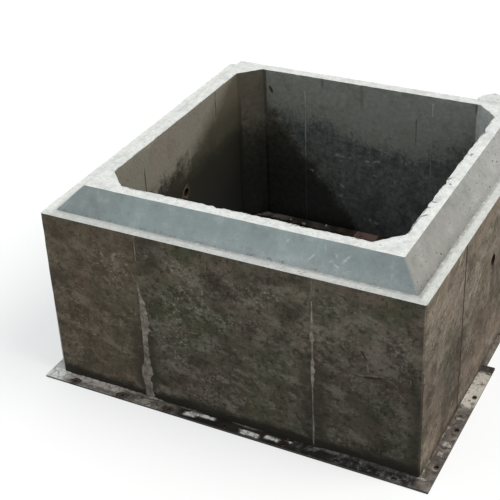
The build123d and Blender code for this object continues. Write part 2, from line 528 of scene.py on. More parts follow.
quarter = math.pi / 2
thin_rows = (
    (0.016, -0.002, 0.004), (0.055, -0.004, 0.009), (0.125, -0.004, 0.010), (0.145, -0.003, 0.008),
    (0.187, -0.003, 0.008), (0.200, -0.002, 0.004), (0.362, -0.002, 0.004), (0.375, -0.004, 0.009),
    (0.410, -0.008, 0.018), (0.480, -0.009, 0.018), (0.519, -0.006, 0.013), (0.525, -0.003, 0.007),
    (0.614, -0.006, 0.011), (0.630, -0.012, 0.018), (0.665, -0.011, 0.017), (0.680, -0.006, 0.011),
    (0.764, -0.004, 0.009), (0.837, -0.002, 0.005), (0.845, -0.001, 0.001), (0.880, -0.001, 0.001),
    (0.886, -0.001, 0.004), (0.956, -0.001, 0.004),
)
smear_rows = (
    (0.013, -0.020, 0.042), (0.083, -0.020, 0.047), (0.140, -0.034, 0.062), (0.195, -0.029, 0.052),
    (0.225, -0.013, 0.034), (0.292, -0.009, 0.028), (0.347, -0.008, 0.025), (0.393, -0.005, 0.033),
    (0.438, -0.005, 0.042), (0.484, -0.004, 0.044), (0.529, -0.006, 0.044), (0.583, -0.005, 0.030),
    (0.630, -0.004, 0.013), (0.670, -0.004, 0.006), (0.690, -0.001, 0.002), (0.815, -0.001, 0.002),
    (0.825, -0.001, 0.005), (0.956, -0.001, 0.005),
)
inner_rows = (
    (0.135, -0.001, 0.001), (0.520, -0.001, 0.001), (0.560, -0.002, 0.004), (0.660, -0.002, 0.004),
    (0.690, -0.005, 0.010), (0.745, -0.003, 0.007), (0.760, -0.006, 0.011), (0.800, -0.002, 0.006),
    (0.955, -0.002, 0.006), (0.990, -0.001, 0.001), (1.040, -0.001, 0.001),
)
faint_rows = (
    (0.135, -0.001, 0.001), (0.440, -0.001, 0.001), (0.480, -0.002, 0.004), (0.780, -0.002, 0.004),
    (0.820, -0.001, 0.001), (0.940, -0.001, 0.001), (0.960, -0.003, 0.007), (1.030, -0.003, 0.007),
)
outer_seams = (
    ("front_right_seam", seam_place, 3.0, 0),
    ("back_left_seam", -seam_place, 5.0, 2 * quarter),
    ("back_right_seam", seam_place, 7.0, 2 * quarter),
)
seam_grout_outside = join("seam_grout_outside", [
    ridge(name, -reach_wall, place, thin_rows, 0.0040, 4, 230, seed, turn)
    for name, place, seed, turn in outer_seams
])
seam_smear = ridge("seam_smear", -reach_wall, -seam_place, smear_rows, 0.0060, 12, 260, 9.0)
inner_seams = (
    ("inner_back_left_seam", -inner_seam_place, inner_rows, 11.0, 0),
    ("inner_back_right_seam", inner_seam_place, faint_rows, 13.0, 0),
    ("inner_front_left_seam", -inner_seam_place, faint_rows, 15.0, 2 * quarter),
    ("inner_front_right_seam", inner_seam_place, inner_rows, 17.0, 2 * quarter),
)
seam_grout_inside = join("seam_grout_inside", [
    ridge(name, reach_barrel, place, rows, 0.0030, 4, 200, seed, turn)
    for name, place, rows, seed, turn in inner_seams
])
for piece in (seam_grout_outside, seam_smear, seam_grout_inside):
    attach(piece, "root")
    print(piece.name, triangles(piece), "triangles")

# %% [markdown]
# ## Spilt mortar on the pallet
#
# Mortar runs out under the mould and sets on the flange as crusts, with bare steel between them
# and clear rings where washers sat. A slab as long as the flange is cut into a fine grid, and a
# rule lifts its top: where the rule falls below zero the slab hides inside the steel, which
# leaves ragged islands. Pins cut it through at the bolt holes, so that these stay open.

# %% A slab of crust
pin_radius, slab_height, ring_clear = 0.0092, 0.006, 0.030
crust_reach = flange_reach - reach_wall - 0.002


def bolt_pins(start, end):
    """Pins at the bolt places of one bar, joined as one cutter, or nothing if it has no bolts."""
    places = {side * place for place in bolt_places for side in (-1, 1)}
    places = sorted(place for place in places if start < place < end)
    pins = [
        begin(
            f"pin_{number}", bpy.ops.mesh.primitive_cylinder_add, vertices=24, radius=pin_radius,
            depth=0.06, location=(place, -bolt_reach, level_foot),
        )
        for number, place in enumerate(places)
    ]
    return join("bolt_pins", pins) if pins else None


def crust(name, start, end, height_of, turn, cuts, base=level_foot, sunk=0.004, out=crust_reach):
    """A mortar crust in front of the wall, shaped by a rule of place and gap, then turned.

    It lies on the base level, and where the rule is low it hides below it by the sunk depth.
    """
    low = base - 1.5 * sunk
    piece = begin(
        name, bpy.ops.mesh.primitive_cube_add, size=1,
        location=((start + end) / 2, -reach_wall - out / 2 + slab_height / 2, low + slab_height / 2),
        scale=(end - start, out + slab_height, slab_height),
    )
    choose("EDGE", lambda e: abs(e.verts[0].co.x - e.verts[1].co.x) > 0.2)
    bpy.ops.mesh.subdivide(number_cuts=cuts)
    choose("EDGE", lambda e: abs(e.verts[0].co.y - e.verts[1].co.y) > 0.02)
    bpy.ops.mesh.subdivide(number_cuts=18)
    mesh = bmesh.from_edit_mesh(piece.data)
    for vertex in mesh.verts:
        if vertex.co.z > low + slab_height / 2:
            x, gap = vertex.co.x, -reach_wall - vertex.co.y
            from_bolts = (math.hypot(abs(x) - place, gap - bolt_gap) for place in bolt_places)
            clear = closeness(min(from_bolts), ring_clear)
            edge = min(flange_reach - 0.001 - abs(vertex.co.y), x - start, end - x)
            rise = min(height_of(x, gap) - 0.030 * clear, 0.6 * edge + 0.001)
            vertex.co.z = base + max(-sunk, rise)
    bmesh.update_edit_mesh(piece.data)
    bpy.ops.object.mode_set(mode="OBJECT")
    pins = bolt_pins(start, end)
    if pins:
        apply_modifier(piece, "BOOLEAN", operation="DIFFERENCE", object=pins, solver="MANIFOLD")
        bpy.data.objects.remove(pins)
        piece.data.materials.clear()
    take_up(piece)
    bpy.ops.object.mode_set(mode="EDIT")
    bpy.ops.mesh.select_all(action="SELECT")
    bpy.ops.transform.rotate(value=turn, orient_axis="Z", center_override=(0, 0, 0))
    bpy.ops.object.mode_set(mode="OBJECT")
    bpy.ops.object.shade_smooth_by_angle(angle=math.radians(40))
    return piece


print("crust reaches", round(crust_reach, 3), "m out from the wall")

# %% [markdown]
# The rules add up noises. On the front there is broken crust at the left, a low heap at the
# corner, thin sheets in the middle and a bead of grout along the wall. The sides have less. In
# the gap of each side flange a lumpy bead lies at the foot of the wall.

# %% Heights of the crusts
def lumps(x, gap, seed, scale):
    """Mottled height between about minus one and one."""
    coarse = noise.noise((scale * x + seed, scale * gap, seed))
    return coarse + 0.5 * noise.noise((2.7 * scale * x, 2.7 * scale * gap + seed, 5.0))


def grout(x, gap, seed):
    """A bead of grout against the foot of the wall, thick in some places and missing in others."""
    uneven = 0.012 * noise.noise((6 * x + seed, 0.5, 0))
    grainy = 0.005 * noise.noise((40 * x + seed, 60 * gap, 0))
    return closeness(gap, 0.022) * (0.007 + uneven + grainy)


def flakes(x, gap, boxes, seed):
    """Thin sheets over boxes of places and gaps, with frayed borders."""
    inside = max(min(x - a, b - x, gap - c, d - gap) for a, b, c, d in boxes)
    return min(0.0044, 0.6 * (inside + 0.005 * lumps(x, gap, seed, 60)))


front_sheets = (
    (-0.237, -0.168, 0.018, 0.052), (-0.205, -0.060, 0.006, 0.034), (0.072, 0.190, 0.024, 0.064),
    (0.203, 0.292, 0.014, 0.046), (0.302, 0.350, 0.008, 0.028), (0.398, 0.462, 0.018, 0.046),
)
side_sheets = (
    (-0.802, -0.758, 0.012, 0.046), (-0.724, -0.684, 0.014, 0.064), (-0.518, -0.488, 0.010, 0.058),
)


def front_height(x, gap):
    """Broken crust, a bead, a heap at the left corner, and sheets."""
    heap = 0.014 * closeness(math.hypot(x + 0.985, gap - 0.012), 0.090)
    covered = closeness(max(0.0, x + 0.40), 0.10)
    broken = 0.0046 * (1.3 * lumps(x, gap, 3.1, 24) + 0.5 * lumps(x, gap, 9.7, 70) + 1.7 * covered - 1.20)
    heap = heap * (1 + 0.3 * lumps(x, gap, 8.2, 40)) - 0.003
    bead = grout(x, gap, 1.7) * (1 - 0.55 * min(1.0, 4 * closeness(abs(x - 0.03), 0.38)))
    return max(broken, bead - 0.003, heap, flakes(x, gap, front_sheets, 2.3))


def side_height(seed, amount):
    """The rule for a side: islands of crust, more of them for a larger amount, and a thin bead."""
    def rule(x, gap):
        broken = 0.0035 * (lumps(x, gap, seed, 17) + amount)
        return max(broken, 0.6 * grout(x, gap, seed) - 0.003, flakes(x, gap, side_sheets, seed))
    return rule


def bead_height(x, gap):
    """A lumpy bead at the foot, high against the wall and thin at its outer edge."""
    return 0.002 + closeness(max(0.0, gap), 0.021) * (0.018 + 0.008 * lumps(x, gap, 7.3, 30))


print("height of the front crust in one place:", round(front_height(-0.985, 0.012), 4), "m")

# %% [markdown]
# One slab is made for each bar of the flange and one for each gap, as if it lay at the front,
# and is then turned to its side. Its run along the bar is given from start to end.

# %% Crusts on the flange
corner_run = flange_reach - 0.002
pallet_crust = join("pallet_crust", [
    crust("front_crust", -corner_run, corner_run, front_height, 0, 420),
    crust("back_crust", -corner_run, corner_run, side_height(6.9, -0.25), 2 * quarter, 380),
    crust("right_front_crust", -reach_wall, gap_front - 0.004, side_height(4.3, 0.05), -quarter, 190),
    crust("right_back_crust", gap_back + 0.004, reach_wall, side_height(5.8, -0.20), -quarter, 160),
    crust("left_front_crust", -gap_front + 0.004, reach_wall, side_height(9.4, 0.10), quarter, 190),
    crust("left_back_crust", -reach_wall, -gap_back - 0.004, side_height(2.6, -0.20), quarter, 160),
    crust("right_bead", gap_front - 0.002, gap_back + 0.002, bead_height, -quarter, 90, 0.0, 0.0, 0.020),
    crust("left_bead", -gap_back - 0.002, -gap_front + 0.002, bead_height, quarter, 90, 0.0, 0.0, 0.020),
])
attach(pallet_crust, "root")
print("pallet crust:", triangles(pallet_crust), "triangles")

# %% [markdown]
# ## A pat of mortar and crumbs
#
# Spilt mortar hangs over the back right corner of the taper, struck off level with the rim, and
# crumbs lie on the ledge inside. Each starts as an icosphere that is stretched, given a lumpy
# surface by a Displace modifier and cut off flat where it rests.

# %% Pat and crumbs
def lump(name, place, size, turn, rough, level, detail):
    """A flattened lump that rests on a level, with a rough surface."""
    piece = begin(
        name, bpy.ops.mesh.primitive_ico_sphere_add, subdivisions=detail, radius=1,
        location=place, scale=size, rotation=(0, 0, turn),
    )
    bpy.ops.object.mode_set(mode="OBJECT")
    texture = cloud_texture(name + "_lumps", 0.8 * max(size), 2, 1.4, 1.0)
    settings = {"texture": texture, "strength": rough, "mid_level": 0.75, "texture_coords": "LOCAL"}
    apply_modifier(piece, "DISPLACE", **settings)
    bpy.ops.object.mode_set(mode="EDIT")
    bpy.ops.mesh.select_all(action="SELECT")
    bpy.ops.mesh.bisect(plane_co=(0, 0, level), plane_no=(0, 0, 1), clear_inner=True, use_fill=True)
    bpy.ops.object.mode_set(mode="OBJECT")
    return piece


pat_place, pat_size = (0.695, 0.844, 1.000), (0.124, 0.100, 0.116)
mortar_pat = lump("mortar_pat", pat_place, pat_size, 0.0, 0.044, level_shoulder - 0.004, 5)
bpy.ops.object.mode_set(mode="EDIT")
bpy.ops.mesh.select_all(action="SELECT")
struck_off = (0, 0, level_rim - 0.0008)
bpy.ops.mesh.bisect(plane_co=struck_off, plane_no=(0, 0, 1), clear_outer=True, use_fill=True)
bpy.ops.object.mode_set(mode="OBJECT")
rng = random.Random(41)
crumbs = []
for number in range(34):
    side, along = rng.randrange(4), rng.uniform(-0.62, 0.62)
    inward = reach_barrel - rng.uniform(0.008, 0.052)
    turn_cos, turn_sin = math.cos(side * quarter), math.sin(side * quarter)
    x = along * turn_cos - inward * turn_sin
    y = along * turn_sin + inward * turn_cos
    size = rng.uniform(0.004, 0.011)
    shape = (size * rng.uniform(0.9, 1.7), size, size * rng.uniform(0.5, 0.8))
    place = (x, y, level_ledge + 0.2 * size)
    turn = rng.uniform(0, 3)
    crumbs.append(lump(f"crumb_{number}", place, shape, turn, 0.3 * size, level_ledge - 0.0005, 2))
ledge_crumbs = join("ledge_crumbs", crumbs)
for piece in (mortar_pat, ledge_crumbs):
    take_up(piece)
    bpy.ops.object.shade_smooth_by_angle(angle=math.radians(40))
    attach(piece, "root")
    print(piece.name, triangles(piece), "triangles")

# %% [markdown]
# ## A way to write finishes
#
# Shader trees are easier to read as sums than as wires. A Value stands for one output of a node
# and knows plain arithmetic, so that an expression on values adds its Math nodes.

# %% Values with arithmetic
class Value:
    """One output of a shader node, with arithmetic that adds the node for it."""

    def __init__(self, finish, socket):
        self.finish, self.socket = finish, socket

    def maths(self, operation, other=None, flip=False):
        pair = (other, self) if flip else (self, other)
        inputs = {0: self} if other is None else {0: pair[0], 1: pair[1]}
        return self.finish.add("ShaderNodeMath", {"operation": operation}, inputs)

    def __add__(self, other):
        return self.maths("ADD", other)

    def __sub__(self, other):
        return self.maths("SUBTRACT", other)

    def __rsub__(self, other):
        return self.maths("SUBTRACT", other, True)

    def __mul__(self, other):
        return self.maths("MULTIPLY", other)

    def __abs__(self):
        return self.maths("ABSOLUTE")

    __radd__, __rmul__ = __add__, __mul__

    def lesser(self, other):
        return self.maths("MINIMUM", other)

    def greater(self, other):
        return self.maths("MAXIMUM", other)

    def ramp(self, start, end):
        """Nothing at the start, one at the end, eased between them; the end may be the lower value."""
        limits = {"Value": self, "From Min": start, "From Max": end}
        return self.finish.add("ShaderNodeMapRange", {"interpolation_type": "SMOOTHSTEP"}, limits)

    def frayed(self, pattern, amount):
        """The value pushed up and down by a pattern, which makes a border that it draws ragged."""
        return self + amount * (pattern - 0.5)


# %% [markdown]
# A Finish is one material with the place of each point at hand. All patterns follow the object's
# own coordinates, so they stay in place when the piece moves. The coat of colour is built up in
# layers: each has a share that says where it shows, and a name that labels its Mix node. Heights
# go through one Bump node.

# %% A material in layers
class Finish:
    """The node tree of one material, and the place of each point as x, y and z."""

    def __init__(self, name):
        self.material = bpy.data.materials.get(name) or bpy.data.materials.new(name)
        self.material.use_nodes = True
        self.tree = self.material.node_tree
        self.tree.nodes.clear()
        self.place = self.add("ShaderNodeTexCoord", output="Object")
        apart = self.add("ShaderNodeSeparateXYZ", inputs={"Vector": self.place}).socket.node
        self.x, self.y, self.z = (Value(self, output) for output in apart.outputs)

    @property
    def reach(self):
        """How far out a point lies, square to the nearest wall."""
        return abs(self.x).greater(abs(self.y))

    @property
    def from_middle(self):
        """How far along its wall a point lies from the middle."""
        return abs(self.x).lesser(abs(self.y))

    def add(self, kind, settings=None, inputs=None, output=0):
        """Add one node, its settings first and then its inputs, and hand back one of its outputs."""
        node = self.tree.nodes.new(kind)
        for key, value in (settings or {}).items():
            setattr(node, key, value)
        for key, value in (inputs or {}).items():
            socket = node.inputs[key]
            if isinstance(value, Value):
                self.tree.links.new(value.socket, socket)
            else:
                socket.default_value = (*value, 1.0) if socket.type == "RGBA" else value
        return Value(self, node.outputs[output]) if node.outputs else None

    def vector(self, x, y, z):
        return self.add("ShaderNodeCombineXYZ", inputs={"X": x, "Y": y, "Z": z})

    def grain(self, scale, detail, rough, seed, place=None):
        """A cloudy pattern with that many patches to the metre."""
        settings = {"Vector": place or self.place, "W": seed}
        settings.update({"Scale": scale, "Detail": detail, "Roughness": rough})
        return self.add("ShaderNodeTexNoise", {"noise_dimensions": "4D"}, settings)

    def cells(self, scale, feature="F1", place=None):
        """Distance to scattered points, or to the borders between their cells."""
        settings = {"Vector": place or self.place, "Scale": scale}
        return self.add("ShaderNodeTexVoronoi", {"feature": feature}, settings, "Distance")

    def mix(self, share, first, second):
        """A colour between two others."""
        return self.add("ShaderNodeMix", {"data_type": "RGBA"}, {0: share, 6: first, 7: second}, 2)

    def shade(self, colour, amount):
        """A colour made lighter or darker."""
        return self.add("ShaderNodeVectorMath", {"operation": "SCALE"}, {0: colour, "Scale": amount})

    def layer(self, label, share, colour):
        """Lay one more colour over the coat, as far as its share says."""
        self.coat = self.mix(share, self.coat, colour)
        self.coat.socket.node.label = label

    def tint(self, amount):
        """Make the whole coat lighter or darker."""
        self.coat = self.shade(self.coat, amount)

    def close(self, rough, height, depth, metallic=0.0, shine=0.15):
        """Join the coat, its roughness and a bump of that depth in metres into the surface."""
        bump = self.add("ShaderNodeBump", inputs={"Strength": 1.0, "Distance": depth, "Height": height})
        skin = self.add("ShaderNodeBsdfPrincipled", inputs={
            "Base Color": self.coat,
            "Roughness": rough,
            "Metallic": metallic,
            "Specular IOR Level": shine,
            "Normal": bump,
        })
        self.add("ShaderNodeOutputMaterial", inputs={"Surface": skin})
        print("finish", self.material.name, len(self.tree.nodes), "nodes")


# %% [markdown]
# ## Outer walls
#
# The walls came off oiled steel panels and have weathered in the open. On a wall one of x and y
# stays fixed, so their sum runs along any wall and their lesser size tells how far a point is
# from its middle. Flecks, strokes and mist were dragged over the wall, so their patterns are
# stretched along it and slanted.

# %% Patterns of the outer walls
wall = Finish("wall_outside")
along = wall.x + wall.y
level = wall.z + 0.16 * along
on_front = wall.y.ramp(-0.962, -0.968)
on_right = wall.x.ramp(0.962, 0.968)


def dragged(along_scale, height, height_scale):
    """Stretched places along the wall and up it."""
    return wall.vector(along * along_scale, height * height_scale, wall.x - wall.y)


broad = wall.grain(3.0, 5, 0.60, 1)
patches = wall.grain(9.5, 9, 0.68, 2)
blotches = wall.grain(6.5, 8, 0.66, 3)
fine = wall.grain(80, 3, 0.65, 4)
flecks = wall.grain(1.0, 3, 0.62, 5, dragged(74.0, level, 118.0))
crumbly = wall.grain(34, 5, 0.70, 6)
gathers = wall.grain(1.0, 6, 0.62, 7, dragged(5.2, level, 8.0))
strokes = wall.grain(1.0, 4, 0.62, 8, dragged(17.0, wall.z - 0.10 * along, 95.0))
swipes = wall.grain(1.0, 4, 0.62, 9, dragged(5.0, wall.z - 0.75 * along, 35.0))
mist = wall.grain(1.0, 8, 0.68, 10, dragged(7.0, level, 12.0))
print("patterns of the walls:", len(wall.tree.nodes), "nodes")

# %% [markdown]
# A dark film of mould oil comes first, with olive and brown in it. Over it lie a pale mist and
# flecks of dried slurry, which gather in clusters and keep clear of the upper edge. The dark
# crumbs come last, because there the slurry has come off again.

# %% Film, mist and flecks
wall.coat = wall.mix(patches.ramp(0.36, 0.64), (0.058, 0.049, 0.037), (0.138, 0.117, 0.089))
wall.layer("olive film", broad.ramp(0.47, 0.60) * 0.52, (0.088, 0.093, 0.056))
wall.layer("brown blotches", blotches.ramp(0.50, 0.62) * 0.52, (0.164, 0.119, 0.098))
misty = mist.ramp(0.49, 0.62) * (0.60 + 0.22 * wall.z.ramp(0.60, 0.35)) * wall.z.ramp(0.96, 0.86)
wall.layer("pale mist", misty, (0.222, 0.199, 0.166))
clusters = gathers.ramp(0.44, 0.60) * wall.z.ramp(0.94, 0.80)
wall.layer("crumbs of slurry", clusters * crumbly.ramp(0.48, 0.62) * 0.50, (0.215, 0.190, 0.160))
flecked = clusters * flecks.ramp(0.540, 0.605) * (0.25 + 0.75 * crumbly.ramp(0.42, 0.56))
flecked = flecked * (0.82 - 0.42 * wall.x.ramp(-0.20, 0.40))
wall.layer("pale flecks", flecked, (0.375, 0.340, 0.295))
wall.layer("scraped strokes", strokes.ramp(0.62, 0.70) * clusters * 0.55, (0.290, 0.262, 0.225))
wall.layer("dark crumbs", crumbly.ramp(0.48, 0.37) * 0.70, (0.034, 0.031, 0.023))
wall.layer("dark mist", mist.ramp(0.45, 0.35) * 0.58, (0.038, 0.033, 0.025))
left_panel = wall.x.ramp(-0.42, -0.50) * on_front
wall.layer("even left panel", left_panel * 0.27, (0.122, 0.105, 0.081))
wall.tint(0.60 + 1.00 * fine)
print("film, mist and flecks:", len(wall.tree.nodes), "nodes")

# %% [markdown]
# ## Scratches
#
# A few single scratches and cracks catch the eye on the front. They could be painted on an image;
# here each is drawn between its two ends, from how far a point lies along the line and beside it.
# A pattern makes the line stray, so that it doesn't look ruled.

# %% Scratches and cracks of the front
end_outside, end_inside = 0.008, 0.010


def scratches(u, v, stray, half, ends):
    """Nearness to straight scratches of one half width, on a face with axes u and v.

    Each row of ends holds u and v where a scratch starts and where it ends.
    """
    near = 0.0 * u
    for u_start, v_start, u_end, v_end in ends:
        length = math.dist((u_start, v_start), (u_end, v_end))
        way_u, way_v = (u_end - u_start) / length, (v_end - v_start) / length
        run = (u - u_start) * way_u + (v - v_start) * way_v
        off = (v - v_start) * way_u - (u - u_start) * way_v + stray
        stroke = abs(off).ramp(half, 0.25 * half) * run.ramp(-end_outside, end_inside)
        near = near.greater(stroke * run.ramp(length + end_outside, length - end_inside))
    return near


scraped = scratches(wall.x, wall.z, 0.040 * (patches - 0.5), 0.0050, (
    (0.715, 0.58, 0.725, 0.53), (0.65, 0.51, 0.7, 0.515), (0.71, 0.52, 0.795, 0.535),
    (0.835, 0.51, 0.865, 0.485), (0.845, 0.485, 0.905, 0.425), (0.91, 0.56, 0.915, 0.53),
    (0.58, 0.295, 0.59, 0.235), (-0.205, 0.625, -0.155, 0.63), (-0.155, 0.63, -0.085, 0.59),
    (-0.41, 0.465, -0.355, 0.49), (-0.205, 0.485, -0.115, 0.495),
))
wall.layer("scratches", scraped * on_front * crumbly.ramp(0.38, 0.56) * 0.75, (0.300, 0.275, 0.240))
cracked = scratches(wall.x, wall.z, 0.030 * (patches - 0.5), 0.0065, (
    (0.7, 0.505, 0.785, 0.52), (0.685, 0.645, 0.715, 0.6),
))
wall.layer("cracks", cracked * on_front * 0.80, (0.022, 0.019, 0.014))
print("scratches and cracks:", len(wall.tree.nodes), "nodes")

# %% [markdown]
# The three panels of the front differ a little in tone, and its lower right is darker. The right
# wall is warmer, lighter at the top and again near its foot, and darker below its middle, with
# slanting swipes. The tones are colours that a Vector Math node multiplies with the coat.

# %% Tones of the front and the right wall
lower = wall.z.ramp(0.76, 0.45)
lower_right = wall.x.ramp(0.35, 0.75) * wall.z.ramp(0.66, 0.40)
wall.tint(1.0 - (0.14 * lower + 0.26 * lower_right) * on_front)
wall.layer("warm right wall", on_right * 0.10, (0.128, 0.104, 0.077))
wall.layer("dark swipes", on_right * swipes.ramp(0.44, 0.32) * 0.30, (0.060, 0.048, 0.036))
swiped = on_right * swipes.ramp(0.57, 0.67) * (0.30 + 0.70 * gathers.ramp(0.44, 0.56))
wall.layer("pale swipes", swiped * 0.90, (0.290, 0.254, 0.204))
wall.layer("dusty blotches", on_right * blotches.ramp(0.46, 0.62) * 0.35, (0.190, 0.162, 0.126))
# Lighter at the top and near the foot, darker below the middle.
right_wall_tone = wall.mix(wall.z.ramp(0.20, 0.85), (0.77, 0.715, 0.70), (1.45, 1.385, 1.385))
dull_patch = 0.44 * abs(wall.y + 0.56).ramp(0.22, 0.04) * wall.z.ramp(0.75, 0.35)
right_wall_tone = wall.shade(right_wall_tone, 1.0 + 0.58 * wall.z.ramp(0.40, 0.08) - dull_patch)
panel = wall.mix(wall.x.ramp(-0.47, -0.43), (1.16, 1.07, 0.99), (0.99, 0.99, 0.94))
panel = wall.mix(wall.x.ramp(0.43, 0.47), panel, (1.06, 1.05, 1.03))
tone = wall.mix(on_right, panel, right_wall_tone)
wall.coat = wall.add("ShaderNodeVectorMath", {"operation": "MULTIPLY"}, {0: wall.coat, 1: tone})
print("tones of the walls:", len(wall.tree.nodes), "nodes")

# %% [markdown]
# Damp rises from the foot, and on the front also beside the seams and along the right arris. The
# seams of the side walls are shallow grooves, painted dark as painted shade in them. A rusty run
# hangs below each lifting hole, with a chip below the right one, and the left arris of the front
# is chalky near its foot.

# %% Damp, seams and lifting holes
seam_gap = abs(wall.from_middle - seam_place)
beside_seam = seam_gap.ramp(0.095, 0.030) * wall.z.ramp(0.62, 0.30) * patches.ramp(0.30, 0.55) * on_front
by_arris = wall.x.ramp(0.885, 0.955) * wall.z.ramp(0.64, 0.40) * patches.ramp(0.28, 0.52) * on_front
foot_height = (0.018 + (0.030 + 0.012 * wall.x.ramp(-0.9, 0.9)) * on_front).frayed(patches, 0.12)
foot = (wall.z - level_foot - foot_height).ramp(0.024, -0.020)
damp = (0.75 * beside_seam).greater(0.65 * by_arris).greater(foot * (0.80 + 0.20 * on_front))
wall.layer("damp", damp * 0.95, (0.022, 0.019, 0.014))
# The side seams are painted dark, as painted shade in their grooves.
shaded_groove = seam_gap.ramp(0.0080, 0.0050) * (1.0 - on_front) * abs(wall.x).ramp(0.960, 0.966)
wall.layer("painted shade in the side seams", shaded_groove * 0.92, (0.026, 0.021, 0.016))
hanging = abs(wall.y - 0.010).ramp(0.040, 0.012) * wall.z.ramp(0.600, 0.585) * wall.z.ramp(0.30, 0.52)
hanging = hanging * abs(wall.x).ramp(0.9, 0.96)
wall.layer("rusty run", hanging * fine.ramp(0.25, 0.55) * 0.55, (0.060, 0.042, 0.030))
chipped = scratches(wall.y, wall.z, 0.050 * (patches - 0.5), 0.026, (
    (0.01, 0.59, 0.0, 0.565), (-0.01, 0.555, -0.01, 0.545),
))
wall.layer("chip below the hole", chipped * on_right * 0.88, (0.016, 0.012, 0.008))
pits = wall.cells(75).ramp(0.22, 0.10) * blotches.ramp(0.50, 0.58)
wall.layer("pits", pits * 0.7, (0.030, 0.026, 0.021))
chalky = wall.from_middle.ramp(0.9605, 0.9645) * wall.z.ramp(0.50, 0.22) * wall.x.ramp(-0.9, -0.96)
wall.layer("chalky left arris", chalky * wall.y.ramp(-0.9, -0.95) * 0.85, (0.600, 0.590, 0.550))
height = 0.5 * fine + 0.4 * patches + 0.4 * flecks + 0.2 * strokes - 0.8 * pits - 1.5 * shaded_groove
wall.close(0.90 - 0.30 * damp, height, 0.004)

# %% [markdown]
# ## Trowelled tops
#
# The rim and the shoulder were struck off with a trowel and bleached by the sun. They are almost
# white, with open pores and with grey clouds where the thin cement skin wore away. The shoulder
# is greyer than the rim, and the tone of each side depends on which of x and y is larger.

# %% Struck and bleached concrete
top = Finish("trowelled_top")
clouds = top.grain(7, 6, 0.62, 11)
worn = top.grain(26, 5, 0.62, 12)
sand = top.grain(190, 3, 0.6, 13)
on_rim = top.z.ramp(level_shoulder + 0.03, level_rim - 0.03)
at_side = (abs(top.x) - abs(top.y)).ramp(-0.05, 0.05)
struck = top.mix(at_side, (0.520, 0.523, 0.510), (0.635, 0.632, 0.605))
struck = top.mix(at_side * top.x.ramp(0.1, -0.1), struck, (0.730, 0.730, 0.700))
bleached = top.mix(top.x.ramp(0.60, 0.80), (0.695, 0.697, 0.677), (0.730, 0.730, 0.710))
top.coat = top.mix(on_rim, struck, bleached)
top.tint(0.44 + 1.12 * worn)
top.layer("grey clouds", clouds.ramp(0.52, 0.70) * 0.35, (0.500, 0.500, 0.470))
top.layer("worn spots", worn.ramp(0.58, 0.70) * 0.45, (0.400, 0.385, 0.345))
top.tint(0.84 + 0.32 * sand)
print("struck and bleached concrete:", len(top.tree.nodes), "nodes")

# %% [markdown]
# The inner edge of the rim is frayed, and dirt was swept against the foot of the taper. The right
# side of the rim has cuts from levering, painted darker as painted shade in them, and the front
# has small nicks. The helper for scratches draws both, short and broad.

# %% Edges, cuts and pores of the tops
barrel_reach = top.reach.greater(abs(top.x) + abs(top.y) - (reach_barrel - haunch))
broken = (barrel_reach - reach_barrel).ramp(0.016, 0.003) * worn.ramp(0.48, 0.60)
top.layer("frayed inner edge", broken * (0.62 + 0.26 * top.x.ramp(0.1, 0.4)), (0.235, 0.212, 0.180))
swept = (top.reach - reach_shoulder).ramp(0.024, 0.004) * (1.0 - on_rim)
swept = swept * worn.ramp(0.36, 0.54) * (0.35 + 0.42 * top.x.ramp(-0.80, -0.20))
top.layer("dirt by the taper", swept, (0.255, 0.257, 0.243))
shaded_rim_cuts = scratches(top.x, top.y, 0.016 * (worn - 0.5), 0.0085, (
    (0.75, 0.54, 0.745, 0.58), (0.75, 0.41, 0.765, 0.455), (0.77, 0.18, 0.78, 0.2),
    (0.775, -0.125, 0.785, -0.14), (0.75, -0.1, 0.765, -0.07), (0.745, -0.31, 0.78, -0.32),
    (0.745, -0.38, 0.765, -0.37), (0.755, -0.47, 0.78, -0.44), (0.75, -0.59, 0.755, -0.51),
))
# The cuts are painted darker, as painted shade in them.
top.layer("painted shade in the rim cuts", shaded_rim_cuts * on_rim * sand.ramp(0.32, 0.48) * 0.90, (0.150, 0.142, 0.128))
nicks = scratches(top.x, top.y, 0.010 * (worn - 0.5), 0.0050, (
    (0.295, -0.955, 0.305, -0.955), (0.3, -0.945, 0.31, -0.94), (0.375, -0.945, 0.39, -0.945),
    (0.39, -0.96, 0.4, -0.955), (0.4, -0.945, 0.41, -0.94), (0.635, -0.98, 0.645, -0.98),
    (0.235, -0.76, 0.25, -0.75), (0.255, -0.77, 0.265, -0.75), (0.28, -0.765, 0.29, -0.75),
    (0.31, -0.765, 0.32, -0.75),
))
top.layer("nicks", nicks * 0.80, (0.150, 0.142, 0.128))
pores = top.cells(85).ramp(0.24, 0.12) * worn.ramp(0.50, 0.60)
top.layer("pores", pores * 0.75, (0.080, 0.070, 0.058))
top.close(0.90 - 0.05 * worn, 0.6 * sand + 0.6 * worn - 0.9 * pores - 0.8 * shaded_rim_cuts, 0.003)

# %% [markdown]
# ## The taper
#
# The taper was cast against a smooth steel ring. It is blue grey at the front, a hue that is partly
# the painted cool of shade, and warmer and full of small air holes at the sides. The left side is
# painted pale, as painted light. Smudges and a finer scumble of cement break up the colour.

# %% Base colours of the taper
taper = Finish("formed_taper")
at_side = (abs(taper.x) - abs(taper.y)).ramp(-0.010, 0.010)
at_left = at_side * taper.x.ramp(0.05, -0.05)
clouds = taper.grain(3.2, 5, 0.58, 21)
smudges = taper.grain(13, 7, 0.68, 22)
sand = taper.grain(150, 3, 0.6, 23)
scumble = taper.grain(42, 6, 0.72, 24)
up_slope = (taper.z - level_shoulder) * (1.0 / spigot_rise)
warm = taper.mix(taper.y.ramp(-0.65, 0.35), (0.285, 0.277, 0.257), (0.345, 0.342, 0.325))
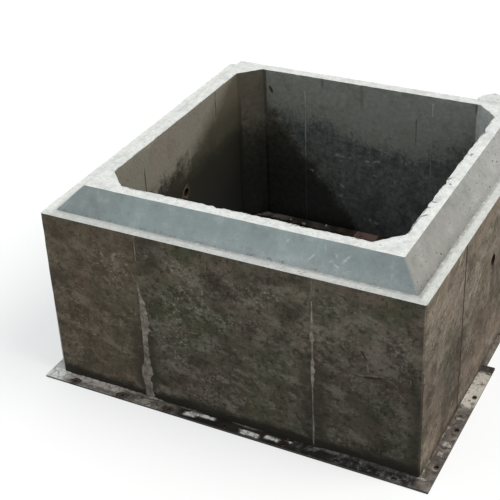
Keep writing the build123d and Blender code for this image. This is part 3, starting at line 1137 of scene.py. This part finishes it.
# The cool blue grey of the front is partly painted shade colour.
cool = taper.mix(taper.x.ramp(0.35, 0.90), (0.262, 0.303, 0.308), (0.224, 0.257, 0.259))
taper.coat = taper.mix(at_side, cool, warm)
left_end = taper.x.ramp(-0.58, -0.64) * (1.0 - at_side)
taper.layer("dull left end", left_end * 0.45, (0.220, 0.250, 0.243))
# The left side is painted nearly white, as painted light.
taper.layer("painted light on the left side", at_left * 0.95, (0.800, 0.800, 0.775))
taper.tint((0.72 + 0.50 * clouds) * (0.74 + 0.52 * smudges))
taper.layer("pale smudges", smudges.ramp(0.52, 0.72) * 0.45, (0.390, 0.412, 0.408))
taper.layer("dark smudges", smudges.ramp(0.46, 0.32) * (0.30 + 0.15 * at_side), (0.190, 0.195, 0.185))
print("base colours of the taper:", len(taper.tree.nodes), "nodes")

# %% [markdown]
# The foot of the taper fades into the pale shoulder and is pitted in a dark, broken line. Pale
# scuffs cross the front, and brown stains sit at the foot of the sides.

# %% Foot, scuffs and air holes of the taper
foot = up_slope.frayed(smudges, 0.5).ramp(0.55, 0.05) * taper.x.ramp(-0.45, 0.0) * (1.0 - at_side)
taper.layer("pale foot", foot * scumble.ramp(0.32, 0.64) * 0.28, (0.500, 0.515, 0.506))
pale_scumble = scumble.ramp(0.56, 0.72) * (0.22 + 0.20 * at_side) * (1.0 - at_left)
taper.layer("pale scumble", pale_scumble, (0.440, 0.455, 0.445))
dark_scumble = scumble.ramp(0.46, 0.34) * at_side * 0.40 * (1.0 - at_left)
taper.layer("dark scumble", dark_scumble, (0.190, 0.185, 0.170))
edge_line = up_slope.ramp(0.16, 0.02) * scumble.ramp(0.50, 0.62) * (1.0 - at_left)
pitted = taper.x.ramp(0.05, 0.18) * taper.x.ramp(0.50, 0.36)
taper.layer("pitted line", edge_line * (0.55 + 0.30 * pitted), (0.130, 0.130, 0.120))
scuffs = scratches(taper.x, taper.z, 0.016 * (smudges - 0.5), 0.0060, (
    (0.49, 1.0, 0.515, 1.005), (0.515, 1.005, 0.515, 0.995), (0.515, 0.995, 0.545, 0.99),
    (0.4, 0.99, 0.425, 1.015), (0.455, 1.05, 0.465, 1.035), (0.505, 1.035, 0.525, 1.02),
    (0.555, 1.01, 0.58, 1.03), (0.275, 1.035, 0.29, 1.04),
))
scuffs = scuffs * taper.y.ramp(-0.70, -0.75) * scumble.ramp(0.36, 0.56)
taper.layer("pale scuffs", scuffs * 0.55, (0.560, 0.585, 0.580))
stain = up_slope.frayed(smudges, 0.8).ramp(0.30, 0.02) * at_side * smudges.ramp(0.40, 0.56)
taper.layer("brown stains", stain * (0.55 - 0.30 * taper.y.ramp(-0.60, 0.0)), (0.120, 0.112, 0.098))
taper.tint(0.90 + 0.20 * sand)
air_holes = taper.cells(60).ramp(0.20, 0.09).greater(at_side * taper.cells(27).ramp(0.19, 0.10))
air_holes = air_holes * smudges.ramp(0.47, 0.56) * (0.20 + 0.80 * at_side)
taper.layer("air holes", air_holes * 0.8, (0.060, 0.055, 0.048))
taper.close(0.78 + 0.10 * smudges, 0.4 * sand + 0.3 * smudges - 0.9 * air_holes, 0.0025)

# %% [markdown]
# ## Inside the barrel
#
# Rain stands in the unit, so its walls are grey green above a ragged tide line, and dark and
# grainy below it. The left wall is browner and nearly black in the damp. Patterns added to the
# height of a border make the tide line ragged.

# %% Dry wall and tide line
barrel = Finish("barrel_inside")
patches = barrel.grain(9, 8, 0.70, 31)
broad = barrel.grain(2.8, 5, 0.6, 32)
fine = barrel.grain(70, 4, 0.65, 33)
hanging = barrel.vector((barrel.x + barrel.y) * 24.0, (barrel.x - barrel.y) * 24.0, barrel.z * 5.0)
drips = barrel.grain(1.0, 6, 0.68, 34, hanging)
specks = barrel.grain(60, 4, 0.62, 35)
crumbly = barrel.grain(32, 6, 0.70, 36)
on_back = barrel.y.ramp(0.735, 0.745)
on_left = barrel.x.ramp(-0.735, -0.745)
on_sides = abs(barrel.x).ramp(0.735, 0.745)
barrel.coat = barrel.mix(on_left, (0.256, 0.258, 0.230), (0.220, 0.193, 0.160))
barrel.layer("brown patches", patches.ramp(0.46, 0.66) * 0.35, (0.165, 0.152, 0.122))
barrel.layer("pale clouds", broad.ramp(0.50, 0.70) * 0.30, (0.290, 0.295, 0.270))
barrel.layer("green left wall", broad.ramp(0.44, 0.58) * on_left * 0.40, (0.196, 0.205, 0.160))
barrel.tint(0.70 + 0.60 * fine)
ragged = 0.44 * (patches - 0.5) + 0.22 * (specks - 0.5)
streaky = 0.46 * (patches - 0.5) + 0.12 * (drips - 0.5) + 0.14 * (specks - 0.5)
tide_level = 0.715 + 0.12 * barrel.x.ramp(0.30, 0.62) + 0.12 * barrel.x.ramp(0.08, -0.30)
back_tide = (barrel.z - tide_level + ragged).ramp(0.05, -0.09)
left_tide = (barrel.z - 0.775 + streaky).ramp(0.07, -0.07)
tide = barrel.add("ShaderNodeMix", {}, {0: on_left, 2: back_tide, 3: left_tide})
wet = barrel.mix(on_left, (0.112, 0.118, 0.112), (0.025, 0.022, 0.014))
wet = barrel.mix(barrel.x.ramp(0.10, 0.40) * 0.60, wet, (0.165, 0.173, 0.166))
wet = barrel.mix(specks.ramp(0.48, 0.34) * 0.60 * (1.0 - on_left), wet, (0.045, 0.047, 0.045))
speckled = specks.ramp(0.54, 0.70) * patches.ramp(0.46, 0.58) * (0.70 - 0.50 * on_left)
wet = barrel.mix(speckled, wet, (0.255, 0.265, 0.252))
wet = barrel.mix(patches.ramp(0.54, 0.42) * 0.55 * (1.0 - on_left), wet, (0.062, 0.066, 0.062))
barrel.layer("damp below the tide", tide * (0.94 + 0.04 * on_left), wet)
print("dry wall and tide line:", len(barrel.tree.nodes), "nodes")

# %% [markdown]
# The walls are darkest near the ledge. The back left corner is painted dark, as painted shade
# over some damp: a painted shadow of the back rim slants down the left wall, painted shade slants
# down the back wall from the same corner, and both grow darker low in the corner. The haunch at
# the back right is pale.

# %% Darkest near the ledge, painted shade in the back left corner, and the pale haunch
# The walls darken towards the ledge, to nearly black on the left wall.
deep = (barrel.z - (0.36 + 0.34 * on_left) + 0.6 * ragged).ramp(0.16, -0.20)
pale_deep = patches.ramp(0.42, 0.60) * barrel.x.ramp(-0.1, 0.4)
deep_colour = barrel.mix(pale_deep, (0.054, 0.058, 0.058), (0.178, 0.189, 0.187))
deep_colour = barrel.mix(on_left, deep_colour, (0.009, 0.008, 0.006))
barrel.layer("darkest near the ledge", deep * 0.85, deep_colour)
# Painted shadow and shade over some damp stain: its borders slant down from the back left corner.
in_corner = (barrel.y - barrel.x).ramp(1.370, 1.380)
back_border = barrel.z - 0.89 + 1.28 * (barrel.x + 0.64) + 0.75 * ragged
left_border = barrel.z - 0.762 - 0.50 * barrel.y + 0.45 * streaky
corner_shade_and_stain = (on_back * back_border.ramp(0.070, -0.080)).greater(on_left * left_border.ramp(0.09, -0.07))
corner_shade_and_stain = corner_shade_and_stain.greater(in_corner)
stain = barrel.mix(on_left * barrel.z.ramp(0.98, 0.82), (0.094, 0.080, 0.060), (0.048, 0.044, 0.030))
barrel.layer("painted shade and stain in the corner", corner_shade_and_stain * 0.94, stain)
# Lower in the corner the painted shade is darker, over damp.
shaded_wet_corner = corner_shade_and_stain * (barrel.z - 0.72 + 0.5 * ragged).ramp(0.05, -0.07)
wet_shade_colour = barrel.mix(on_left, (0.030, 0.030, 0.024), (0.019, 0.018, 0.013))
barrel.layer("painted shade on the wet corner", shaded_wet_corner * 0.92, wet_shade_colour)
deep_corner_shade = corner_shade_and_stain * (barrel.z - 0.50 + 0.5 * ragged).ramp(0.16, -0.16)
barrel.layer("painted shade deep in the corner", deep_corner_shade * 0.90, (0.014, 0.014, 0.014))
# Painted shade darkens the lower part of the back left haunch.
barrel.tint(1.0 - 0.40 * in_corner * barrel.z.ramp(0.75, 0.55))
right_corner = (barrel.x + barrel.y).ramp(1.370, 1.380) * barrel.z.ramp(0.62, 0.96)
pale_haunch = barrel.shade((0.570, 0.580, 0.560), 0.70 + 0.60 * fine)
barrel.layer("pale right haunch", right_corner * 0.92, pale_haunch)
damp = tide.greater(shaded_wet_corner) * (1.0 - right_corner)
print("damp and corners:", len(barrel.tree.nodes), "nodes")

# %% [markdown]
# Pale scuffs cross the back wall, grain shows most in its damp, dark runs hang from the rim, and
# the seams are faint lines. A run is a line at one place, faded at both ends.

# %% Scuffs, runs and seams of the barrel
scuffs = scratches(barrel.x, barrel.z, 0.060 * (patches - 0.5), 0.0110, (
    (-0.195, 0.61, -0.095, 0.61), (-0.01, 0.6, 0.085, 0.61), (0.0, 0.58, 0.03, 0.58),
    (0.04, 0.515, 0.08, 0.515), (0.23, 0.65, 0.235, 0.625), (-0.17, 0.42, -0.13, 0.4),
    (-0.155, 0.355, -0.15, 0.33), (0.02, 0.225, 0.08, 0.2), (-0.36, 0.475, -0.33, 0.475),
))
barrel.layer("pale scuffs", scuffs * on_back * crumbly.ramp(0.40, 0.56) * 0.55, (0.330, 0.340, 0.325))
barrel.tint(1.0 + (crumbly - 0.5) * (0.9 + 1.9 * tide) * (1.0 - on_left))
runs = (
    (-0.271, 0.985, 1.080, 0.014, 0.45),
    (-0.033, 0.900, 1.080, 0.016, 0.25),
    (0.290, 0.750, 0.930, 0.005, 0.60),
    (0.622, 0.985, 1.080, 0.009, 0.70),
)
for place, low, high, half, strength in runs:
    line = abs((barrel.x - place).frayed(patches, 0.012)).ramp(half, 0.3 * half)
    line = line * barrel.z.ramp(low, low + 0.05) * barrel.z.ramp(high, high - 0.03) * on_back
    barrel.layer("dark run", line * strength, (0.060, 0.057, 0.050))
back_seam = abs(abs(barrel.x) - inner_seam_place).ramp(0.0045, 0.0020) * on_back * barrel.z.ramp(0.82, 0.70)
barrel.layer("back seams", back_seam * drips.ramp(0.40, 0.54) * 0.13, (0.240, 0.235, 0.210))
side_seam = abs(abs(barrel.y) - inner_seam_place).ramp(0.0050, 0.0025) * on_sides
back_half = barrel.y.ramp(-0.1, 0.1) * barrel.z.ramp(0.88, 0.95)
front_half = barrel.y.ramp(0.1, -0.1) * barrel.z.ramp(0.97, 0.92)
side_seam = side_seam * back_half.greater(front_half)
seam_share = side_seam * (1.0 - 0.6 * damp) * drips.ramp(0.40, 0.50)
barrel.layer("side seams", seam_share * 0.80, (0.048, 0.038, 0.030))
from_rim = drips.ramp(0.60, 0.74) * barrel.z.ramp(0.80, 1.02)
barrel.layer("runs from the rim", from_rim * 0.30, (0.090, 0.084, 0.070))
print("scuffs, runs and seams:", len(barrel.tree.nodes), "nodes")

# %% [markdown]
# Rust has stained the concrete round the sleeves, most of all towards the front, and small pits
# are open where the skin is patchy.

# %% Rust at the sleeves, and pits
hole_gap = barrel.vector(0.0, barrel.y, barrel.z - lift_level)
hole_ring = barrel.add("ShaderNodeVectorMath", {"operation": "LENGTH"}, {0: hole_gap}, "Value")
beside_hole = abs(barrel.y - 0.02).lesser(0.04) - 0.02
rusty = (hole_ring.frayed(patches, 0.11) + 0.35 * beside_hole).ramp(0.050, 0.034) * on_sides
rusty = rusty * specks.ramp(0.38, 0.52) * (0.65 - 0.45 * barrel.y.ramp(-0.01, 0.03))
barrel.layer("rust round the sleeves", rusty, (0.150, 0.112, 0.078))
pits = barrel.cells(60).ramp(0.20, 0.09) * patches.ramp(0.50, 0.60)
barrel.layer("pits", pits * 0.7, (0.028, 0.026, 0.022))
height = 0.5 * fine + 0.4 * patches - 0.8 * pits - 1.2 * side_seam
barrel.close(0.90 - 0.30 * damp, height, 0.004, shine=0.10)

# %% [markdown]
# ## Socket, grout and pat
#
# The socket face is plain formed concrete. The ridges and the smear are grout that dried in
# patches, greyer inside and bleached near the rim, and the pat is pale mortar. Each needs only a
# cloud in two colours and some grain.

# %% Socket, grout and pat
socket = Finish("socket_inside")
patches = socket.grain(9, 5, 0.6, 41)
fine = socket.grain(90, 3, 0.6, 42)
socket.coat = socket.mix(patches.ramp(0.38, 0.62), (0.260, 0.255, 0.235), (0.370, 0.365, 0.340))
socket.tint(0.8 + 0.4 * fine)
socket.close(0.86 + 0.06 * patches, fine, 0.002)

dried = Finish("dried_grout")
patches = dried.grain(30, 5, 0.65, 43)
fine = dried.grain(160, 4, 0.65, 44)
dried.coat = dried.mix(patches.ramp(0.36, 0.62), (0.175, 0.150, 0.122), (0.385, 0.335, 0.282))
inside = dried.reach.ramp(0.85, 0.80)
bleached = dried.mix(dried.z.ramp(0.85, 0.95), (0.250, 0.247, 0.226), (0.480, 0.475, 0.445))
dried.layer("grey inside", inside * 0.75, bleached)
dried.tint((0.72 + 0.56 * fine) * (0.78 + 0.22 * dried.z.ramp(0.15, 0.50)))
dried.close(0.90 - 0.06 * patches, fine + patches, 0.003)
for piece in (seam_grout_outside, seam_grout_inside, seam_smear):
    piece.data.materials.append(dried.material)

pale = Finish("pale_mortar")
patches = pale.grain(28, 5, 0.65, 47)
fine = pale.grain(170, 4, 0.65, 48)
pale.coat = pale.mix(patches.ramp(0.30, 0.56), (0.500, 0.492, 0.465), (0.690, 0.692, 0.672))
pale.tint(0.8 + 0.4 * fine)
pale.close(0.92 - 0.04 * patches, fine + patches, 0.003)
mortar_pat.data.materials.append(pale.material)

# %% [markdown]
# ## The crust on the pallet
#
# Spilt mortar takes up what lies on the pallet. It is dirty where it is thin, pinkish at the left
# of the front, white in the middle, sooty at the right, and pale again along the right side. The
# crust follows the flange, so each stretch is told by x and y. Cracks are the borders of cells,
# and wobbling places keep them from being straight.

# %% Stretches of the crust
spill = Finish("mortar_crust")
patches = spill.grain(16, 6, 0.65, 45)
fine = spill.grain(120, 4, 0.65, 46)
rise = spill.z - level_foot
thick = rise.ramp(0.0010, 0.0050)
out = spill.reach - reach_wall
on_front = spill.y.ramp(-0.955, -0.975)
on_right = spill.x.ramp(0.960, 0.975) * spill.y.ramp(-1.000, -0.985)
pinkish = on_front * spill.x.ramp(-0.58, -0.64)
white = on_front * spill.x.ramp(-0.30, -0.26) * spill.x.ramp(0.38, 0.35)
black = on_front * spill.x.ramp(0.34, 0.40) * spill.x.ramp(0.985, 0.955)
far_right = on_right * spill.y.frayed(patches, 0.10).ramp(-0.420, -0.390)
spill.coat = spill.mix(thick, (0.125, 0.108, 0.095), (0.320, 0.290, 0.260))
spill.layer("pinkish left", pinkish * 0.85, (0.500, 0.447, 0.412))
spill.layer("white sheets", white * thick * 0.88, (0.820, 0.800, 0.770))
spill.layer("pale right side", far_right * 0.85, (0.640, 0.598, 0.530))
thick_right = on_right * rise.ramp(0.0024, 0.0046) * fine.ramp(0.30, 0.50)
spill.layer("thick right side", thick_right * 0.80, (0.440, 0.412, 0.376))
stains = patches.ramp(0.50, 0.60) * (1.0 - 0.75 * pinkish)
stains = stains.greater(out.frayed(patches, 0.08).ramp(0.030, 0.048) * pinkish)
spill.layer("brown stains", stains * 0.65, (0.080, 0.066, 0.056))
print("stretches of the crust:", len(spill.tree.nodes), "nodes")

# %% [markdown]
# Near the gap in the right flange the crust is speckled and then black with rust. The bead in the
# gap is brown, the corner at the front left is white, and chips show pale in the sooty stretch.

# %% Rust, soot and cracks of the crust
specks = on_right * spill.y.ramp(-0.28, -0.08) * fine.ramp(0.52, 0.58)
rusted = on_right * spill.y.frayed(patches, 0.10).ramp(-0.120, -0.095) * spill.y.ramp(-0.036, -0.044)
spill.layer("specks and rust", (specks * 0.75).greater(rusted * 0.92), (0.018, 0.014, 0.010))
bead = spill.z.ramp(0.040, 0.030) * abs(spill.x).ramp(0.96, 0.97)
bead = bead * spill.y.ramp(-0.050, -0.040) * spill.y.ramp(0.260, 0.250)
spill.layer("brown bead", bead * 0.85, (0.112, 0.092, 0.076))
chips = spill.grain(24, 5, 0.72, 49).ramp(0.50, 0.62)
sooty = (0.62 + 0.22 * spill.x.ramp(0.50, 0.64)).greater(0.94 * out.ramp(0.004, 0.014))
spill.layer("soot", black * sooty, (0.016, 0.016, 0.015))
spill.layer("pale chips", black * chips * 0.75, (0.165, 0.158, 0.156))
corner = spill.x.ramp(-0.90, -0.97) * spill.y.ramp(-0.80, -0.95)
spill.layer("white corner", corner * 0.90, (0.820, 0.815, 0.790))
spill.tint(0.70 + 0.60 * fine)
wobble = spill.vector(0.05 * fine, 0.05 * patches, 0.0)
wobbling = spill.add("ShaderNodeVectorMath", {"operation": "ADD"}, {0: spill.place, 1: wobble})
cracks = spill.cells(26, "DISTANCE_TO_EDGE", wobbling).ramp(0.045, 0.010)
spill.layer("cracks", cracks * (0.20 + 0.30 * white), (0.022, 0.021, 0.020))
spill.close(0.92 - 0.05 * patches, fine + 0.5 * patches - 0.8 * cracks, 0.003)
for piece in (pallet_crust, ledge_crumbs):
    piece.data.materials.append(spill.material)

# %% [markdown]
# ## The flange
#
# The pallet is old plate with a film of dried slurry: pinkish at the left of the front, oily and
# nearly black from the middle to the right, and pale along the right side. Its stretches go with
# those of the crust, so that plate and crust look like one spill.

# %% Film on the flange
plate = Finish("pallet_plate")
patches = plate.grain(14, 6, 0.65, 51)
broad = plate.grain(4, 5, 0.6, 52)
fine = plate.grain(130, 4, 0.65, 53)
on_front = plate.y.ramp(-0.955, -0.975)
on_right = plate.x.ramp(0.960, 0.975)
plate.coat = plate.mix(patches.ramp(0.38, 0.62), (0.080, 0.066, 0.056), (0.200, 0.172, 0.148))
plate.layer("dried slurry", broad.ramp(0.48, 0.64) * 0.6, (0.310, 0.282, 0.250))
pinkish = on_front * plate.x.ramp(-0.30, -0.45) * patches.ramp(0.36, 0.52)
plate.layer("pinkish left", pinkish * 0.85, (0.440, 0.394, 0.366))
oily = on_front * plate.x.ramp(-0.34, -0.24) * plate.x.ramp(0.985, 0.955)
chips = plate.grain(24, 5, 0.72, 49).ramp(0.50, 0.62) * plate.x.ramp(0.30, 0.42)
plate.layer("oil", oily * 0.93, (0.012, 0.012, 0.011))
plate.layer("pale chips", oily * chips * 0.75, (0.165, 0.158, 0.156))
far_right = on_right * plate.y.frayed(patches, 0.10).ramp(-0.420, -0.390)
plate.layer("pale right side", far_right * 0.85, (0.620, 0.580, 0.512))
bar_end = plate.y.ramp(0.0, -0.030)
specks = plate.y.ramp(-0.28, -0.08) * fine.ramp(0.52, 0.58) * bar_end
rusted = plate.y.frayed(patches, 0.10).ramp(-0.120, -0.095) * bar_end
plate.layer("specks and rust", on_right * (specks * 0.75).greater(rusted * 0.92), (0.018, 0.014, 0.010))
corner = plate.x.ramp(-0.90, -0.97) * plate.y.ramp(-0.72, -0.95)
plate.layer("white corner", corner * 0.90, (0.800, 0.795, 0.770))
plate.tint(0.65 + 0.70 * fine)
print("film on the flange:", len(plate.tree.nodes), "nodes")

# %% [markdown]
# Washers of the mould bolts left pale rings, rust has run round the holes, and the steel beside
# each hole is dark. All bars have their holes at the same places, so one loop draws the marks on
# every side at once.

# %% Marks round the bolt holes
out = plate.reach - bolt_reach
washer_radius = 0.0175
ring_colour = plate.mix(on_right, (0.170, 0.158, 0.166), (0.380, 0.355, 0.322))
ring_share = (on_right * 0.55).greater(oily * plate.x.ramp(0.40, 0.50) * 0.60)
for place in bolt_places:
    gap = plate.from_middle - place
    ring = (gap * gap * 0.55 + out * out).maths("SQRT")
    halo = abs(ring.frayed(patches, 0.012) - washer_radius).ramp(0.0060, 0.0020) * patches.ramp(0.44, 0.60)
    plate.layer("ring of a washer", halo * ring_share, ring_colour)
    stain = ring.frayed(patches, 0.060).ramp(0.034, 0.022) * on_front * plate.x.ramp(0.45, 0.35) * 0.92
    beside = ring.frayed(patches, 0.010).ramp(0.0135, 0.0105) * 0.90
    plate.layer("rust of a bolt", stain.greater(beside), (0.036, 0.025, 0.019))
# The upright outer sides of the bars are painted dark, as painted shade.
plate.layer("painted shade on the sides of the bars", plate.z.ramp(0.0105, 0.0090) * 0.8, (0.030, 0.026, 0.022))
rough = 0.70 + 0.20 * patches - 0.35 * oily
plate.close(rough, fine + 0.5 * patches, 0.0015, 0.25 * broad.ramp(0.60, 0.40), 0.4)

# %% [markdown]
# ## Formers and sleeves
#
# The formers and the sleeves are rusted through their paint. On the ledge there is grey dust at
# the left, a painted shadow along its inner edge and one red patch at the back. The sleeves are
# painted nearly black, as painted shade inside the bores, with a rusty ring at the mouth inside.
# Height tells which is which: the sleeves lie high above the formers.

# %% Rust of the formers and the sleeves
rust = Finish("rusted_plate")
patches = rust.grain(18, 6, 0.65, 61)
broad = rust.grain(5, 5, 0.6, 62)
fine = rust.grain(140, 4, 0.65, 63)
rust.coat = rust.mix(patches.ramp(0.38, 0.62), (0.034, 0.028, 0.023), (0.090, 0.070, 0.054))
rust.layer("grey film", broad.ramp(0.50, 0.64) * 0.5, (0.150, 0.142, 0.130))
rust.layer("orange rust", patches.ramp(0.58, 0.70) * 0.25, (0.300, 0.160, 0.065))
rust.tint(1.0 - 0.35 * rust.z.ramp(0.115, 0.125))
on_ledge = rust.z.ramp(0.100, 0.115) * rust.z.ramp(0.30, 0.20)
ledge_place = rust.reach.frayed(patches, 0.05)
dusty = on_ledge * rust.x.ramp(-0.44, -0.52) * patches.ramp(0.42, 0.56) * ledge_place.ramp(0.690, 0.705)
rust.layer("dust", dusty * 0.60, (0.165, 0.152, 0.136))
# The inner edge of the ledge is painted dark, as painted shadow.
rust.layer("painted shadow at the inner edge", on_ledge * ledge_place.ramp(0.704, 0.690) * 0.85, (0.010, 0.008, 0.006))
in_sleeve = rust.z.ramp(0.30, 0.50)
# The sleeves are painted nearly black, as painted shade inside the bores.
rust.layer("painted shade in the sleeves", in_sleeve * 0.85, (0.014, 0.009, 0.005))
mouth = in_sleeve * abs(rust.x).ramp(0.7530, 0.7505) * (0.75 - 0.50 * rust.y.ramp(-0.005, 0.025))
rust.layer("rusty mouth", mouth * patches.ramp(0.34, 0.50), (0.170, 0.126, 0.092))
red = rust.x.ramp(-0.056, -0.046) * rust.x.ramp(0.088, 0.082) * rust.y.ramp(0.655, 0.690)
red = red * rust.z.ramp(0.10, 0.12)
rust.layer("red patch", red * patches.ramp(0.32, 0.46) * 0.85, (0.300, 0.180, 0.165))
rust.tint(0.60 + 0.80 * fine)
rust.close(0.80 + 0.12 * patches, fine + 0.7 * patches, 0.0015, 0.10 * broad.ramp(0.60, 0.40))

for name, node in nodes.items():
    if name == "concrete_box":
        chosen = wall.material
    else:
        chosen = plate.material if name.startswith("pallet") else rust.material
    node.data.materials.clear()
    node.data.materials.append(chosen)
print("steel finishes on", len(nodes) - 1, "nodes")

# %% [markdown]
# ## Floor
#
# A studio floor turns white for the camera but stays grey for bounced light, so the picture gets
# a clean base and the walls don't glow from below. Under the flange and the walls it stays grey
# for the camera too, so that the bolt holes look dark.

# %% Studio floor
floor = begin("floor", bpy.ops.mesh.primitive_plane_add, size=80, location=(0, 0, 0))
bpy.ops.mesh.subdivide(number_cuts=1)
bpy.ops.object.mode_set(mode="OBJECT")
studio = Finish("studio_floor")
ray = studio.add("ShaderNodeLightPath").socket.node
rays = [Value(studio, ray.outputs[f"Is {kind} Ray"]) for kind in ("Camera", "Glossy", "Transmission")]
seen = rays[0].greater(rays[1]).greater(rays[2])
below = studio.reach.ramp(flange_reach - 0.001, flange_reach - 0.002)
in_gap = abs(studio.x).ramp(reach_wall - 0.002, reach_wall) * studio.y.ramp(gap_front, gap_front + 0.001)
in_gap = in_gap * studio.y.ramp(gap_back, gap_back - 0.001)
below = below * (1.0 - in_gap) * studio.reach.ramp(ledge_reach, ledge_reach + 0.01)
seen = seen * (1.0 - below)
colour = studio.mix(seen, (0.300, 0.300, 0.300), (1.0, 1.0, 1.0))
skin = studio.add("ShaderNodeBsdfDiffuse", inputs={"Color": colour})
glow = studio.add("ShaderNodeEmission", inputs={"Color": (1.0, 1.0, 1.0), "Strength": 1.0})
blend = studio.add("ShaderNodeMixShader", inputs={0: seen * 0.55, 1: skin, 2: glow})
studio.add("ShaderNodeOutputMaterial", inputs={"Surface": blend})
floor.data.materials.append(studio.material)
print("floor:", len(studio.tree.nodes), "nodes")

# %% [markdown]
# ## Light
#
# Open shade comes from an even, slightly blue sky, which is plain white where the camera sees it.
# One wide, warm lamp on the right gives the lit side.

# %% Sky and lamp
world = bpy.data.worlds.new("open_shade")
bpy.context.scene.world = world
world.use_nodes = True
tree = world.node_tree
sky = tree.nodes["Background"]
sky.inputs["Color"].default_value = (0.90, 0.97, 1.00, 1.0)
sky.inputs["Strength"].default_value = 0.68
white_sky = tree.nodes.new("ShaderNodeBackground")
white_sky.inputs["Color"].default_value = (1.0, 1.0, 1.0, 1.0)
ray = tree.nodes.new("ShaderNodeLightPath")
blend = tree.nodes.new("ShaderNodeMixShader")
tree.links.new(ray.outputs["Is Camera Ray"], blend.inputs[0])
tree.links.new(sky.outputs[0], blend.inputs[1])
tree.links.new(white_sky.outputs[0], blend.inputs[2])
tree.links.new(blend.outputs[0], tree.nodes["World Output"].inputs["Surface"])
lamp = bpy.data.objects.new("lamp", bpy.data.lights.new("lamp", "SUN"))
bpy.context.collection.objects.link(lamp)
lamp.data.energy = 2.05
lamp.data.angle = math.radians(40)
lamp.data.color = (1.0, 0.955, 0.89)
lamp.location = (6.3, 1.1, 7.6)
lamp.rotation_euler = (-lamp.location).to_track_quat("-Z", "Y").to_euler()
bpy.context.scene.view_settings.view_transform = "Standard"
print("lamp", lamp.data.energy, "sky", sky.inputs["Strength"].default_value)
